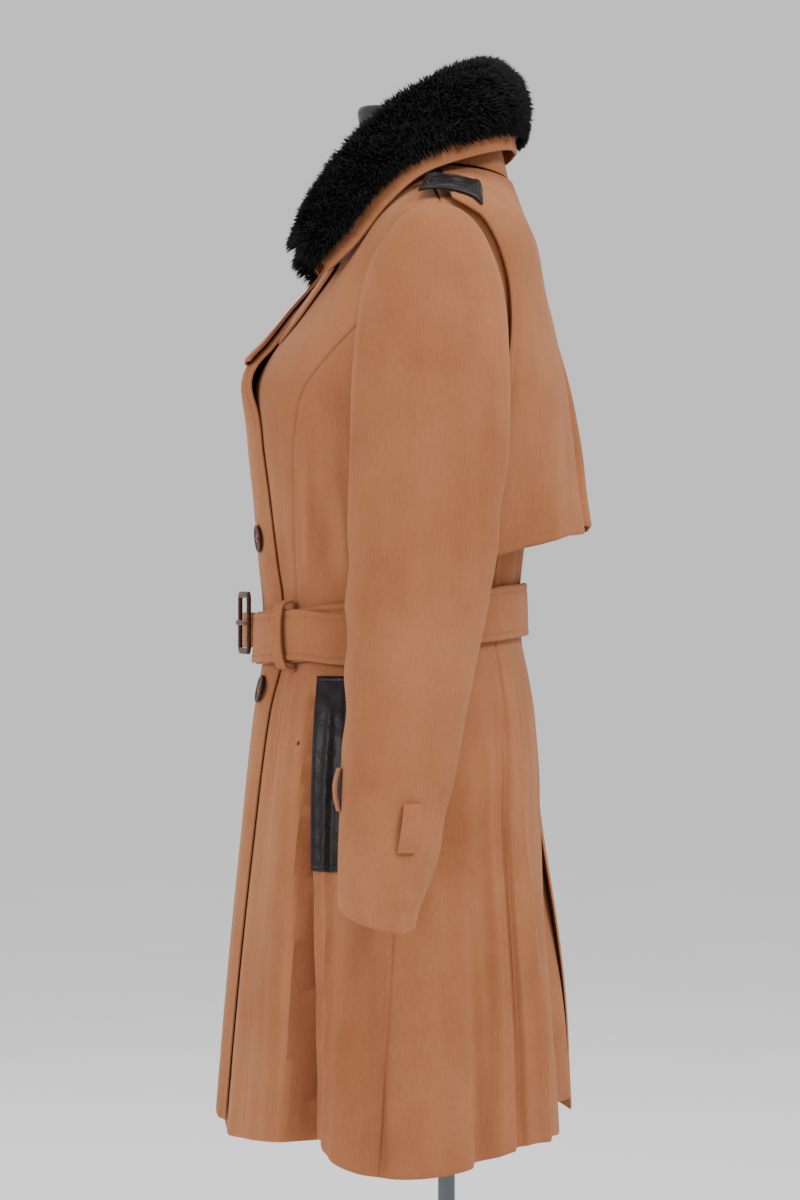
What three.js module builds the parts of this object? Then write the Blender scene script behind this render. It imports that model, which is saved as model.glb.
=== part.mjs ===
// Wool trench coat on a dress form, in millimetres. +Z is up, the coat's front faces -Y and the
// wearer's left is +X. The origin is on the floor, on the axis of the stand's pole.
// Angles go round the body in degrees: 0 is centre front, 90 the left side, 180 centre back.
// Levels are heights of the body's rings. Up to the bust a level is its height in millimetres,
// and above it the rings tip over the shoulders to the neck.
import * as THREE from "three";

// Driving sizes
const WALL = 2.6;
const SEAM = 0.3;
const HEM_LEVEL = 516;
const NECK_LEVEL = 1386;
const TIP_LEVEL = 1320;
const BREAK_LEVEL = 1205;
const OVERLAP = 75;
const WRAP_LIFT = 9;
const BELT_LEVEL = 978;
const BELT_TILT = 13;
const BELT_HEIGHT = 48;
const BELT_THICK = 4.6;
const BUTTON_RADIUS = 13;
const POLE_RADIUS = 8;
const BASE_RADIUS = 175;
const BASE_THICK = 10;
const FORM_BOTTOM = 815;

// The coat's outer face without folds. half is the half width, front and back are the depths
// in Y, the fullness columns square the corners, and the lifts tip the upper rings.
const bodyRings = [
  { level: 500, half: 252, front: -207, back: 112, fullFront: 0.05, fullBack: 0.05 },
  { level: 600, half: 238, front: -199, back: 106, fullFront: 0.05, fullBack: 0.05 },
  { level: 700, half: 222, front: -190, back: 97, fullFront: 0.05, fullBack: 0.05 },
  { level: 800, half: 205, front: -180, back: 87, fullFront: 0.05, fullBack: 0.06 },
  { level: 850, half: 195, front: -175, back: 85, fullFront: 0.05, fullBack: 0.07 },
  { level: 900, half: 179, front: -169, back: 81, fullFront: 0.05, fullBack: 0.07 },
  { level: 935, half: 158, front: -163, back: 75, fullFront: 0.05, fullBack: 0.07 },
  { level: 960, half: 147, front: -161, back: 70, fullFront: 0.06, fullBack: 0.08 },
  { level: 1000, half: 142, front: -162, back: 68, fullFront: 0.06, fullBack: 0.09 },
  { level: 1030, half: 147, front: -165, back: 70, fullFront: 0.07, fullBack: 0.1 },
  { level: 1100, half: 165, front: -171, back: 79, fullFront: 0.08, fullBack: 0.12 },
  { level: 1150, half: 177, front: -176, back: 85, fullFront: 0.08, fullBack: 0.14 },
  { level: 1200, half: 186, front: -177, back: 89, fullFront: 0.05, fullBack: 0.16 },
  { level: 1260, half: 190, front: -142, back: 87, fullFront: -0.04, fullBack: 0.17 },
  { level: 1320, half: 188, front: -109, back: 81, fullFront: -0.08, fullBack: 0.15 },
  { level: 1353, half: 130, front: -97, back: 69, fullFront: -0.05, fullBack: 0.1 },
  { level: 1386, half: 72, front: -88, back: 57, fullFront: 0, fullBack: 0.04 },
];
const ringLifts = [
  { level: 1140, liftFront: 0, liftSide: 0, liftBack: 0 },
  { level: 1200, liftFront: 0, liftSide: 2, liftBack: 0 },
  { level: 1260, liftFront: -8, liftSide: 22, liftBack: 2 },
  { level: 1320, liftFront: -24, liftSide: 22, liftBack: -8 },
  { level: 1353, liftFront: -28, liftSide: 12, liftBack: -3 },
  { level: 1386, liftFront: -40, liftSide: 4, liftBack: 0 },
];

// Seam lines as own-side angles at each level
const frontSeamRows = [
  { level: 500, angle: 33 },
  { level: 770, angle: 31 },
  { level: 900, angle: 35 },
  { level: 1000, angle: 41 },
  { level: 1100, angle: 45 },
  { level: 1165, angle: 50 },
  { level: 1195, angle: 57 },
  { level: 1225, angle: 68 },
  { level: 1260, angle: 88 },
  { level: 1300, angle: 110 },
];
const sideSeamRows = [
  { level: 500, angle: 84 },
  { level: 700, angle: 89 },
  { level: 1000, angle: 94 },
  { level: 1141, angle: 101 },
];
const backSeamRows = [
  { level: 500, angle: 135 },
  { level: 700, angle: 136 },
  { level: 1100, angle: 137 },
  { level: 1160, angle: 134 },
  { level: 1200, angle: 127 },
  { level: 1240, angle: 112 },
  { level: 1300, angle: 80 },
];

// Own-side place across the front where the edge turns back as the lapel
const rollRows = [
  { level: 1205, across: -75 },
  { level: 1260, across: -38 },
  { level: 1320, across: 6 },
  { level: 1353, across: 36 },
  { level: 1386, across: 64 },
];

// Soft folds that hang from the belt to the hem. height is negative for a trough.
const skirtFolds = [
  { angle: 24, width: 9, start: 860, height: 4 },
  { angle: 46, width: 9, start: 900, height: -6 },
  { angle: 61, width: 12, start: 925, height: -22 },
  { angle: 75, width: 11, start: 900, height: 7 },
  { angle: 92, width: 10, start: 700, height: -7 },
  { angle: 108, width: 10, start: 760, height: 7 },
  { angle: 122, width: 9, start: 880, height: -9 },
  { angle: 143, width: 7, start: 920, height: 6 },
  { angle: 152, width: 6, start: 900, height: -9 },
  { angle: 162, width: 6, start: 880, height: 5 },
  { angle: -46, width: 10, start: 900, height: -10 },
  { angle: -62, width: 9, start: 910, height: 7 },
  { angle: -80, width: 10, start: 800, height: -8 },
  { angle: -104, width: 11, start: 760, height: 8 },
  { angle: -124, width: 9, start: 880, height: -10 },
  { angle: -144, width: 8, start: 900, height: 6 },
  { angle: -157, width: 6, start: 890, height: -7 },
];

// Cloth that blouses over the belt
const waistFolds = [
  { angle: 62, width: 9, end: 1120, height: -5 },
  { angle: 112, width: 9, end: 1110, height: -5 },
  { angle: 133, width: 7, end: 1090, height: -5 },
  { angle: 150, width: 7, end: 1085, height: 5 },
  { angle: 166, width: 6, end: 1080, height: -5 },
  { angle: -60, width: 9, end: 1120, height: -5 },
  { angle: -95, width: 9, end: 1110, height: 4 },
  { angle: -128, width: 8, end: 1095, height: -5 },
  { angle: -152, width: 7, end: 1085, height: 5 },
];

const radians = THREE.MathUtils.degToRad;
const mix = THREE.MathUtils.lerp;
const clamp = THREE.MathUtils.clamp;

function smooth(amount) {
  const t = clamp(amount, 0, 1);
  return t * t * (3 - 2 * t);
}

function bell(offset) {
  if (Math.abs(offset) >= 1) return 0;
  return Math.cos((offset * Math.PI) / 2) ** 2;
}

// Reads a column of a table at one place of another column, on a smooth curve through the rows
function readTable(rows, placeName, valueName, place) {
  const last = rows.length - 1;
  if (place <= rows[0][placeName]) return rows[0][valueName];
  if (place >= rows[last][placeName]) return rows[last][valueName];
  let i = 0;
  while (place > rows[i + 1][placeName]) i += 1;
  const slopeAt = (k) => {
    const before = rows[Math.max(k - 1, 0)];
    const after = rows[Math.min(k + 1, last)];
    return (after[valueName] - before[valueName]) / (after[placeName] - before[placeName]);
  };
  const span = rows[i + 1][placeName] - rows[i][placeName];
  const t = (place - rows[i][placeName]) / span;
  const startPull = slopeAt(i) * span;
  const endPull = slopeAt(i + 1) * span;
  const a = rows[i][valueName];
  const b = rows[i + 1][valueName];
  const bend = (t ** 3 - 2 * t ** 2 + t) * startPull + (t ** 3 - t ** 2) * endPull;
  return mix(a, b, 3 * t ** 2 - 2 * t ** 3) + bend;
}

function ringColumn(name, level) {
  return readTable(bodyRings, "level", name, level);
}

function ringLift(name, level) {
  return readTable(ringLifts, "level", name, level);
}

function bodyPoint(angle, level) {
  const sine = Math.sin(radians(angle));
  const cosine = Math.cos(radians(angle));
  const front = ringColumn("front", level);
  const back = ringColumn("back", level);
  const fullness = ringColumn(cosine > 0 ? "fullFront" : "fullBack", level);
  const endLift = ringLift(cosine > 0 ? "liftFront" : "liftBack", level);
  const depth = (back - front) / 2;
  return new THREE.Vector3(
    ringColumn("half", level) * sine * (1 + fullness * cosine * cosine),
    (front + back) / 2 - depth * cosine * (1 + fullness * sine * sine),
    level + ringLift("liftSide", level) * sine * sine + endLift * cosine * cosine,
  );
}

function bodyNormal(angle, level) {
  const reach = 0.5;
  const around = bodyPoint(angle + reach, level).sub(bodyPoint(angle - reach, level));
  const upward = bodyPoint(angle, level + reach).sub(bodyPoint(angle, level - reach));
  return around.cross(upward).normalize();
}

function foldHeight(angle, level) {
  const turn = angle > 180 ? angle - 360 : angle;
  let height = 0;
  if (level < BELT_LEVEL) {
    for (const fold of skirtFolds) {
      const growth = smooth((fold.start - level) / (fold.start - HEM_LEVEL));
      height += fold.height * growth * bell((turn - fold.angle) / fold.width);
    }
  } else {
    const clearOfBelt = smooth((level - BELT_LEVEL - BELT_HEIGHT / 2) / 40);
    for (const fold of waistFolds) {
      const fade = clearOfBelt * smooth((fold.end - level) / 70);
      height += fold.height * fade * bell((turn - fold.angle) / fold.width);
    }
  }
  return height;
}

// The right front lies over the left one: how far it stands out at its own-side place across
function wrapLift(across) {
  return WRAP_LIFT * smooth((OVERLAP + 62 - across) / 55);
}

// A point of the coat's outer face, moved out along the body's normal
function coatPoint(angle, level, out = 0) {
  const point = bodyPoint(angle, level);
  return point.addScaledVector(bodyNormal(angle, level), foldHeight(angle, level) + out);
}

// Finds the angle and level where the body's face has two wanted coordinates
function findOnBody(first, second, target, start) {
  let { angle, level } = start;
  const step = 0.01;
  for (let round = 0; round < 60; round += 1) {
    const here = bodyPoint(angle, level);
    const byAngle = bodyPoint(angle + step, level).sub(here).divideScalar(step);
    const byLevel = bodyPoint(angle, level + step).sub(here).divideScalar(step);
    const missFirst = target[first] - here[first];
    const missSecond = target[second] - here[second];
    const scale = byAngle[first] * byLevel[second] - byAngle[second] * byLevel[first];
    const turn = (missFirst * byLevel[second] - missSecond * byLevel[first]) / scale;
    const climb = (byAngle[first] * missSecond - byAngle[second] * missFirst) / scale;
    angle += clamp(turn, -4, 4);
    level += clamp(climb, -12, 12);
  }
  return { angle, level };
}

// The own-side angle at which the body is this far across at a level, in front of the side
function angleAcross(across, level) {
  let low = -80;
  let high = 89;
  for (let round = 0; round < 40; round += 1) {
    const middle = (low + high) / 2;
    if (bodyPoint(middle, level).x < across) low = middle;
    else high = middle;
  }
  return (low + high) / 2;
}

// Turns points and triangles into a geometry with its faces pointing out
function bodyGeometry(points, faces) {
  let volume = 0;
  for (let i = 0; i < faces.length; i += 3) {
    const [a, b, c] = [points[faces[i]], points[faces[i + 1]], points[faces[i + 2]]];
    volume += a.dot(b.clone().cross(c));
  }
  const ordered = [...faces];
  if (volume < 0) ordered.reverse();
  const geometry = new THREE.BufferGeometry();
  const numbers = points.flatMap((p) => [p.x, p.y, p.z]);
  geometry.setAttribute("position", new THREE.Float32BufferAttribute(numbers, 3));
  geometry.setIndex(ordered);
  geometry.computeVertexNormals();
  return geometry;
}

// A closed wall between two grids of points, with a rim along each of its four edges
function wallGeometry(outer, inner) {
  const rows = outer.length;
  const columns = outer[0].length;
  const points = [...outer.flat(), ...inner.flat()];
  const faces = [];
  const id = (side, row, column) => (side * rows + row) * columns + column;
  const quad = (a, b, c, d) => faces.push(a, b, c, a, c, d);
  for (let r = 0; r < rows - 1; r += 1) {
    for (let c = 0; c < columns - 1; c += 1) {
      quad(id(0, r, c), id(0, r, c + 1), id(0, r + 1, c + 1), id(0, r + 1, c));
      quad(id(1, r, c), id(1, r + 1, c), id(1, r + 1, c + 1), id(1, r, c + 1));
    }
  }
  for (let c = 0; c < columns - 1; c += 1) {
    quad(id(0, 0, c), id(1, 0, c), id(1, 0, c + 1), id(0, 0, c + 1));
    const top = rows - 1;
    quad(id(0, top, c), id(0, top, c + 1), id(1, top, c + 1), id(1, top, c));
  }
  for (let r = 0; r < rows - 1; r += 1) {
    quad(id(0, r, 0), id(0, r + 1, 0), id(1, r + 1, 0), id(1, r, 0));
    const end = columns - 1;
    quad(id(0, r, end), id(1, r, end), id(1, r + 1, end), id(0, r + 1, end));
  }
  return bodyGeometry(points, faces);
}

// A solid through a stack of closed rings, with a flat fan at each end
function ringStack(rings) {
  const count = rings[0].length;
  const points = rings.flat();
  const faces = [];
  for (let r = 0; r < rings.length - 1; r += 1) {
    for (let c = 0; c < count; c += 1) {
      const next = (c + 1) % count;
      const low = r * count;
      const high = low + count;
      faces.push(low + c, low + next, high + next, low + c, high + next, high + c);
    }
  }
  for (const end of [0, rings.length - 1]) {
    const middle = new THREE.Vector3();
    for (const point of rings[end]) middle.addScaledVector(point, 1 / count);
    points.push(middle);
    for (let c = 0; c < count; c += 1) {
      const next = (c + 1) % count;
      const [a, b] = end === 0 ? [next, c] : [c, next];
      faces.push(end * count + a, end * count + b, points.length - 1);
    }
  }
  return bodyGeometry(points, faces);
}

function makeGrid(columns, rows, pointAt) {
  const grid = [];
  for (let r = 0; r <= rows; r += 1) {
    const line = [];
    for (let c = 0; c <= columns; c += 1) line.push(pointAt(c / columns, r / rows));
    grid.push(line);
  }
  return grid;
}

// The same grid moved along its own normals, which point to the left of its columns and rows
function offsetGrid(grid, distance) {
  const lastRow = grid.length - 1;
  const lastColumn = grid[0].length - 1;
  return grid.map((line, r) => line.map((point, c) => {
    const across = line[Math.min(c + 1, lastColumn)].clone().sub(line[Math.max(c - 1, 0)]);
    const along = grid[Math.min(r + 1, lastRow)][c].clone().sub(grid[Math.max(r - 1, 0)][c]);
    const normal = across.cross(along).normalize();
    const amount = typeof distance === "function" ? distance(c / lastColumn, r / lastRow) : distance;
    return point.clone().addScaledVector(normal, amount);
  }));
}

function mirrorGrid(grid) {
  return grid.map((line) => line.map((point) => new THREE.Vector3(-point.x, point.y, point.z)));
}

// Materials
const wool = { color: 0xb07e58, roughness: 0.95, metalness: 0 };
const blackFur = { color: 0x17161a, roughness: 0.9, metalness: 0 };
const blackLeather = { color: 0x262426, roughness: 0.5, metalness: 0 };
const darkHorn = { color: 0x2a1a14, roughness: 0.35, metalness: 0 };
const formCloth = { color: 0x26262a, roughness: 0.9, metalness: 0 };
const greySteel = { color: 0x6a6b6e, roughness: 0.35, metalness: 0.9 };

const coat = new THREE.Group();
coat.name = "wool_coat_on_dress_form";

function addPiece(name, geometry, finish, parent = coat) {
  const mesh = new THREE.Mesh(geometry, new THREE.MeshStandardMaterial(finish));
  mesh.name = name;
  parent.add(mesh);
  return mesh;
}

// Armhole, an upright oval on the body's face that the sleeve is set into
const armhole = { y: -17, z: 1241.5, halfY: 61, halfZ: 100.5, lean: 8 };

function armholePlace(turn, growth) {
  const upward = Math.cos(radians(turn));
  const target = {
    y: armhole.y + armhole.lean * upward + (armhole.halfY + growth) * Math.sin(radians(turn)),
    z: armhole.z + (armhole.halfZ + growth) * upward,
  };
  return findOnBody("y", "z", target, { angle: 95 + 22 * Math.sin(radians(turn)), level: target.z - 12 });
}

function armholeRows(fromTurn, toTurn) {
  const rows = [];
  const count = 24;
  for (let i = 0; i <= count; i += 1) rows.push(armholePlace(mix(fromTurn, toTurn, i / count), SEAM / 2));
  return rows.sort((a, b) => a.level - b.level);
}

const armholeFront = armholeRows(180, 360);
const armholeBack = armholeRows(180, 0);

// Up to the shoulder's tip a panel ends at the armhole, and above it at the shoulder seam
function armholeAngle(rows, level) {
  const top = armholeFront[armholeFront.length - 1];
  if (level >= top.level) return mix(top.angle, 90, (level - top.level) / (NECK_LEVEL - top.level));
  return readTable(rows, "level", "angle", level);
}

function insideArmhole(point) {
  const z = (point.z - armhole.z) / (armhole.halfZ + SEAM / 2);
  const y = (point.y - armhole.y - armhole.lean * z) / (armhole.halfY + SEAM / 2);
  return y * y + z * z < 1;
}

// The angle that half of a seam's gap takes at a level
function seamAngle(level) {
  return THREE.MathUtils.radToDeg(SEAM / 2 / (ringColumn("half", level) * 0.72));
}

const frontSeam = (level) => readTable(frontSeamRows, "level", "angle", level);
const sideSeam = (level) => readTable(sideSeamRows, "level", "angle", level);
const backSeam = (level) => readTable(backSeamRows, "level", "angle", level);

function frontEdge(level) {
  const across = level < BREAK_LEVEL ? -OVERLAP : readTable(rollRows, "level", "across", level);
  return angleAcross(across, level);
}

// Hem heights of the left side and the right front, which hangs a little shorter
const hemRows = [
  { angle: 0, hem: 520 },
  { angle: 20, hem: 521 },
  { angle: 35, hem: 527 },
  { angle: 50, hem: 533 },
  { angle: 61, hem: 539 },
  { angle: 72, hem: 524 },
  { angle: 82, hem: 515 },
  { angle: 95, hem: 512 },
  { angle: 110, hem: 517 },
  { angle: 137, hem: 527 },
  { angle: 152, hem: 523 },
  { angle: 165, hem: 518 },
  { angle: 180, hem: 516 },
];

function hemLevel(side, ownAngle) {
  const hem = readTable(hemRows, "angle", "hem", Math.max(ownAngle, 0));
  if (side > 0) return hem;
  return hem + 10 * smooth((60 - ownAngle) / 30);
}

// Centre-back vent: each back opens away from the middle below this level
const VENT_LEVEL = 850;
const ventRows = [
  { side: 1, open: 24, lean: -17 },
  { side: -1, open: 44, lean: 15 },
];

function ventRow(side) {
  return ventRows.find((row) => row.side === side);
}

function backEdge(side, level) {
  const open = ventRow(side).open * smooth((VENT_LEVEL - level) / (VENT_LEVEL - HEM_LEVEL)) ** 0.8;
  const across = Math.max(open, 0.15);
  const turn = Math.asin(clamp(across / ringColumn("half", level), -1, 1));
  return 180 - THREE.MathUtils.radToDeg(turn);
}

function ventLean(side, ownAngle, level) {
  const lean = ventRow(side).lean * smooth((VENT_LEVEL - level) / 260);
  return lean * smooth((ownAngle - 145) / 35);
}

// The level at which a seam line that climbs the body runs into the armhole
function armholeMeet(angleAt) {
  let low = 1090;
  let high = 1260;
  for (let round = 0; round < 30; round += 1) {
    const middle = (low + high) / 2;
    if (insideArmhole(bodyPoint(angleAt(middle), middle))) high = middle;
    else low = middle;
  }
  return low;
}

// Neighbouring panels share these levels, so that their seams run side by side
function panelLevels(hem, meet, top) {
  const levels = [];
  for (let i = 0; i <= 14; i += 1) levels.push(mix(hem, 1090, i / 14));
  for (let i = 1; i <= 4; i += 1) levels.push(mix(1090, meet, i / 4));
  if (top > meet) {
    for (let i = 1; i <= 5; i += 1) levels.push(mix(meet, TIP_LEVEL, i / 5));
    for (let i = 1; i <= 3; i += 1) levels.push(mix(TIP_LEVEL, top, i / 3));
  }
  return levels;
}

// A body panel between an inner and an outer seam, from the hem to the armhole or the neck
function bodyPanel(side, columns, inner, outer, meetAt, top, liftAt) {
  const gridAt = (depth) => {
    const strips = [];
    for (let c = 0; c <= columns; c += 1) {
      const angleAt = (level) => {
        const gap = seamAngle(level);
        return mix(inner(level) + gap, outer(level) - gap, c / columns);
      };
      const hem = hemLevel(side, angleAt(HEM_LEVEL));
      strips.push(panelLevels(hem, meetAt(angleAt), top).map((level) => {
        const angle = angleAt(level);
        return coatPoint(side * angle, level, liftAt(angle, level) - depth);
      }));
    }
    return strips[0].map((_, row) => strips.map((strip) => strip[row]));
  };
  return wallGeometry(gridAt(0), gridAt(WALL));
}

const noLift = () => 0;
const frontMeet = armholeMeet(frontSeam);
const backMeet = armholeMeet(backSeam);

// How far a front stands off the body: the wrap of the right one, and the roll of both above
// the break
function frontLift(side, angle, level) {
  const nearRoll = smooth(1 - (angle - frontEdge(level)) / 24);
  const aboveBreak = smooth((level - 1150) / 70) * smooth((NECK_LEVEL + 15 - level) / 60);
  if (side > 0) return 1.5 * nearRoll * aboveBreak;
  const thinner = mix(1, 0.68, smooth((level - 1195) / 45));
  const atBreak = 5 * bell((level - BREAK_LEVEL + 6) / 32);
  return wrapLift(bodyPoint(angle, level).x) * thinner + (3 * aboveBreak + atBreak) * nearRoll;
}

for (const side of [1, -1]) {
  const name = side > 0 ? "left" : "right";
  const lift = (angle, level) => frontLift(side, angle, level);
  const lean = (angle, level) => ventLean(side, angle, level);
  const frontArmhole = (level) => armholeAngle(armholeFront, level);
  const backArmhole = (level) => armholeAngle(armholeBack, level);
  const frontOuter = (level) => (level <= frontMeet ? frontSeam(level) : frontArmhole(level));
  const backOuter = (level) => (level <= backMeet ? backSeam(level) : backArmhole(level));
  const backCentre = (level) => backEdge(side, level);
  const front = bodyPanel(side, 8, frontEdge, frontOuter, () => frontMeet, NECK_LEVEL, lift);
  const sideFront = bodyPanel(side, 10, frontSeam, sideSeam, armholeMeet, 0, lift);
  const sideBack = bodyPanel(side, 6, sideSeam, backSeam, armholeMeet, 0, noLift);
  const back = bodyPanel(side, 7, backOuter, backCentre, () => backMeet, NECK_LEVEL, lean);
  addPiece(`front_${name}`, front, wool);
  addPiece(`side_front_${name}`, sideFront, wool);
  addPiece(`side_back_${name}`, sideBack, wool);
  addPiece(`back_${name}`, back, wool);
}

// Left sleeve: each ring is an oval from an inner point by the body to an outer point. The
// first rings fan out from the armhole over the sleeve head. run counts from 0 at the armhole
// to 100 at the cuff.
const sleeveRings = [
  { run: 0, inX: 178, inZ: 1141, outX: 188, outZ: 1342, centreY: -15, halfY: 62 },
  { run: 4, inX: 183, inZ: 1131, outX: 212, outZ: 1339, centreY: -15, halfY: 64 },
  { run: 9, inX: 184, inZ: 1117, outX: 235, outZ: 1308, centreY: -16, halfY: 66 },
  { run: 15, inX: 181, inZ: 1100, outX: 249, outZ: 1255, centreY: -17, halfY: 68 },
  { run: 22, inX: 177, inZ: 1076, outX: 257, outZ: 1190, centreY: -18, halfY: 68 },
  { run: 32, inX: 171, inZ: 1034, outX: 263, outZ: 1102, centreY: -22, halfY: 66 },
  { run: 43, inX: 172, inZ: 980, outX: 269, outZ: 1010, centreY: -29, halfY: 61 },
  { run: 54, inX: 186, inZ: 918, outX: 280, outZ: 932, centreY: -37, halfY: 54 },
  { run: 66, inX: 205, inZ: 848, outX: 298, outZ: 854, centreY: -45, halfY: 48 },
  { run: 80, inX: 219, inZ: 784, outX: 313, outZ: 782, centreY: -53, halfY: 42 },
  { run: 100, inX: 228, inZ: 738, outX: 325, outZ: 722, centreY: -57, halfY: 38 },
];

const SLEEVE_FRONT_SEAM = -112;
const SLEEVE_BACK_SEAM = 112;
const SLEEVE_START = 0.6;

// Creases across the elbow and lower sleeve, each on one side of the sleeve
const sleeveCreases = [
  { run: 38, turn: -70, spread: 60, length: 5, depth: 3 },
  { run: 47, turn: -60, spread: 70, length: 5, depth: 4 },
  { run: 57, turn: -80, spread: 60, length: 5, depth: 3 },
  { run: 30, turn: 80, spread: 60, length: 6, depth: 3 },
  { run: 72, turn: 60, spread: 70, length: 6, depth: 3 },
];

function sleeveRow(run) {
  const row = {};
  for (const name of ["inX", "inZ", "outX", "outZ", "centreY", "halfY"]) {
    row[name] = readTable(sleeveRings, "run", name, run);
  }
  return row;
}

// A point of the left sleeve. turn is 0 on the outside, 90 at the back and 180 by the body.
// The cuff's edge stands this much higher at the front than at the back
const CUFF_RISE = 16;

function sleevePoint(turn, run, out = 0) {
  const row = sleeveRow(run);
  const inner = new THREE.Vector3(row.inX, row.centreY, row.inZ);
  const outer = new THREE.Vector3(row.outX, row.centreY, row.outZ);
  const centre = inner.clone().lerp(outer, 0.5);
  const outward = outer.clone().sub(centre);
  let crease = 0;
  for (const fold of sleeveCreases) {
    const alongSleeve = bell((run - fold.run) / fold.length);
    crease += fold.depth * alongSleeve * bell((turn - fold.turn) / fold.spread);
  }
  const grow = out - crease;
  const point = centre.clone();
  const reach = (outward.length() + grow) * Math.cos(radians(turn));
  point.addScaledVector(outward.clone().normalize(), reach);
  point.y += (row.halfY + grow) * Math.sin(radians(turn));
  point.z += CUFF_RISE * smooth((run - 66) / 34) * (1 - Math.sin(radians(turn))) / 2;
  const seatFade = 1 - smooth(run / 6);
  if (seatFade > 0) {
    const place = armholePlace(turn, out - SEAM / 2);
    const seat = bodyPoint(place.angle, place.level);
    seat.addScaledVector(bodyNormal(place.angle, place.level), SLEEVE_START);
    point.lerp(seat, seatFade);
  }
  return point;
}

const sleeveRuns = [0, 3, 6, 11, 17, 25, 34, 42, 50, 58, 68, 82, 100];

function sleevePanel(side, columns, fromTurn, toTurn) {
  const gridAt = (depth) => sleeveRuns.map((run) => {
    const line = [];
    const gap = THREE.MathUtils.radToDeg(SEAM / 2 / 36);
    for (let c = 0; c <= columns; c += 1) {
      line.push(sleevePoint(mix(fromTurn + gap, toTurn - gap, c / columns), run, -depth));
    }
    return line;
  });
  const [outer, inner] = [gridAt(0), gridAt(WALL)];
  return side > 0 ? wallGeometry(outer, inner) : wallGeometry(mirrorGrid(outer), mirrorGrid(inner));
}

for (const side of [1, -1]) {
  const name = side > 0 ? "left" : "right";
  addPiece(`top_sleeve_${name}`, sleevePanel(side, 13, SLEEVE_FRONT_SEAM, SLEEVE_BACK_SEAM), wool);
  addPiece(`under_sleeve_${name}`, sleevePanel(side, 7, SLEEVE_BACK_SEAM, 360 + SLEEVE_FRONT_SEAM), wool);
}

// Lapels lie on the fronts, between the roll line, the gorge under the collar and an outer edge.
// Corners are own-side places across and heights: at the lower end and at the gorge.
const LAPEL_TOP_ROLL = [37, 1327];
const LAPEL_TIP = [112, 1293];
const lapels = [
  { side: 1, lowRoll: [5, 1292], lowEdge: [68, 1231], belly: 5 },
  { side: -1, lowRoll: [-71, 1209], lowEdge: [-61, 1206], belly: 17 },
];

function lapelPoint(lapel, u, v, depth) {
  const [across, height] = [0, 1].map((k) => {
    const onRoll = mix(lapel.lowRoll[k], LAPEL_TOP_ROLL[k], v);
    const onEdge = mix(lapel.lowEdge[k], LAPEL_TIP[k], v);
    return mix(onRoll, onEdge, u);
  });
  const sag = lapel.belly * u * 4 * v * (1 - v);
  const target = { x: across, z: height - sag };
  const { angle, level } = findOnBody("x", "z", target, { angle: across * 0.35, level: height });
  const bulge = 2 * Math.sin(Math.PI * clamp(u * 1.2, 0, 1)) + 3 * u * v;
  const lift = frontLift(lapel.side, angle, level) + WALL + SEAM + bulge;
  return coatPoint(lapel.side * angle, level, lift - depth);
}

for (const lapel of lapels) {
  const gridAt = (depth) => makeGrid(7, 7, (u, v) => lapelPoint(lapel, u, v, depth));
  addPiece(`lapel_${lapel.side > 0 ? "left" : "right"}`, wallGeometry(gridAt(0), gridAt(WALL)), wool);
}

// Collar: from the seam at the neck up the stand, over the fold and down the fall to its edge.
// run is 0 at centre back and 1 at the front end, for the left half.
const collarSeam = [
  { run: 0, x: 0, y: 57, z: 1388.5 },
  { run: 0.2, x: 38, y: 48, z: 1390.5 },
  { run: 0.4, x: 62, y: 20, z: 1395 },
  { run: 0.55, x: 71, y: -16, z: 1396 },
  { run: 0.7, x: 69, y: -48, z: 1389 },
  { run: 0.85, x: 59, y: -80, z: 1368 },
  { run: 1, x: 45, y: -108, z: 1342 },
];
const collarFold = [
  { run: 0, x: 0, y: 40, z: 1477 },
  { run: 0.2, x: 36, y: 28, z: 1474 },
  { run: 0.4, x: 61, y: -2, z: 1459 },
  { run: 0.55, x: 70, y: -38, z: 1437 },
  { run: 0.7, x: 76, y: -74, z: 1402 },
  { run: 0.85, x: 78, y: -104, z: 1362 },
  { run: 1, x: 66, y: -124, z: 1328 },
];
const collarEdge = [
  { run: 0, x: 0, y: 65, z: 1414 },
  { run: 0.2, x: 48, y: 56, z: 1411 },
  { run: 0.4, x: 93, y: 22, z: 1398 },
  { run: 0.55, x: 124, y: -22, z: 1378 },
  { run: 0.7, x: 139, y: -54, z: 1349 },
  { run: 0.85, x: 143, y: -82, z: 1313 },
  { run: 1, x: 134, y: -107, z: 1290 },
];
const NECK_AXIS_Y = -25;

function collarRail(rows, run) {
  const own = Math.abs(run);
  const x = readTable(rows, "run", "x", own);
  const y = readTable(rows, "run", "y", own);
  return new THREE.Vector3(run < 0 ? -x : x, y, readTable(rows, "run", "z", own));
}

function collarPoint(run, ratio) {
  const seam = collarRail(collarSeam, run);
  const fold = collarRail(collarFold, run);
  const edge = collarRail(collarEdge, run);
  const away = new THREE.Vector3(fold.x, fold.y - NECK_AXIS_Y, 0).normalize();
  const roll = mix(7, 4, Math.abs(run));
  const shifted = (point, outward, upward) => {
    const moved = point.clone().addScaledVector(away, outward);
    moved.z += upward;
    return moved;
  };
  const section = new THREE.CatmullRomCurve3([
    seam,
    shifted(seam.clone().lerp(fold, 0.45), -2, 0),
    shifted(fold, -roll, -roll),
    fold,
    shifted(fold, roll, -roll),
    shifted(fold.clone().lerp(edge, 0.55), 5, 3),
    edge,
  ], false, "centripetal");
  return section.getPoint(ratio);
}

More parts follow.
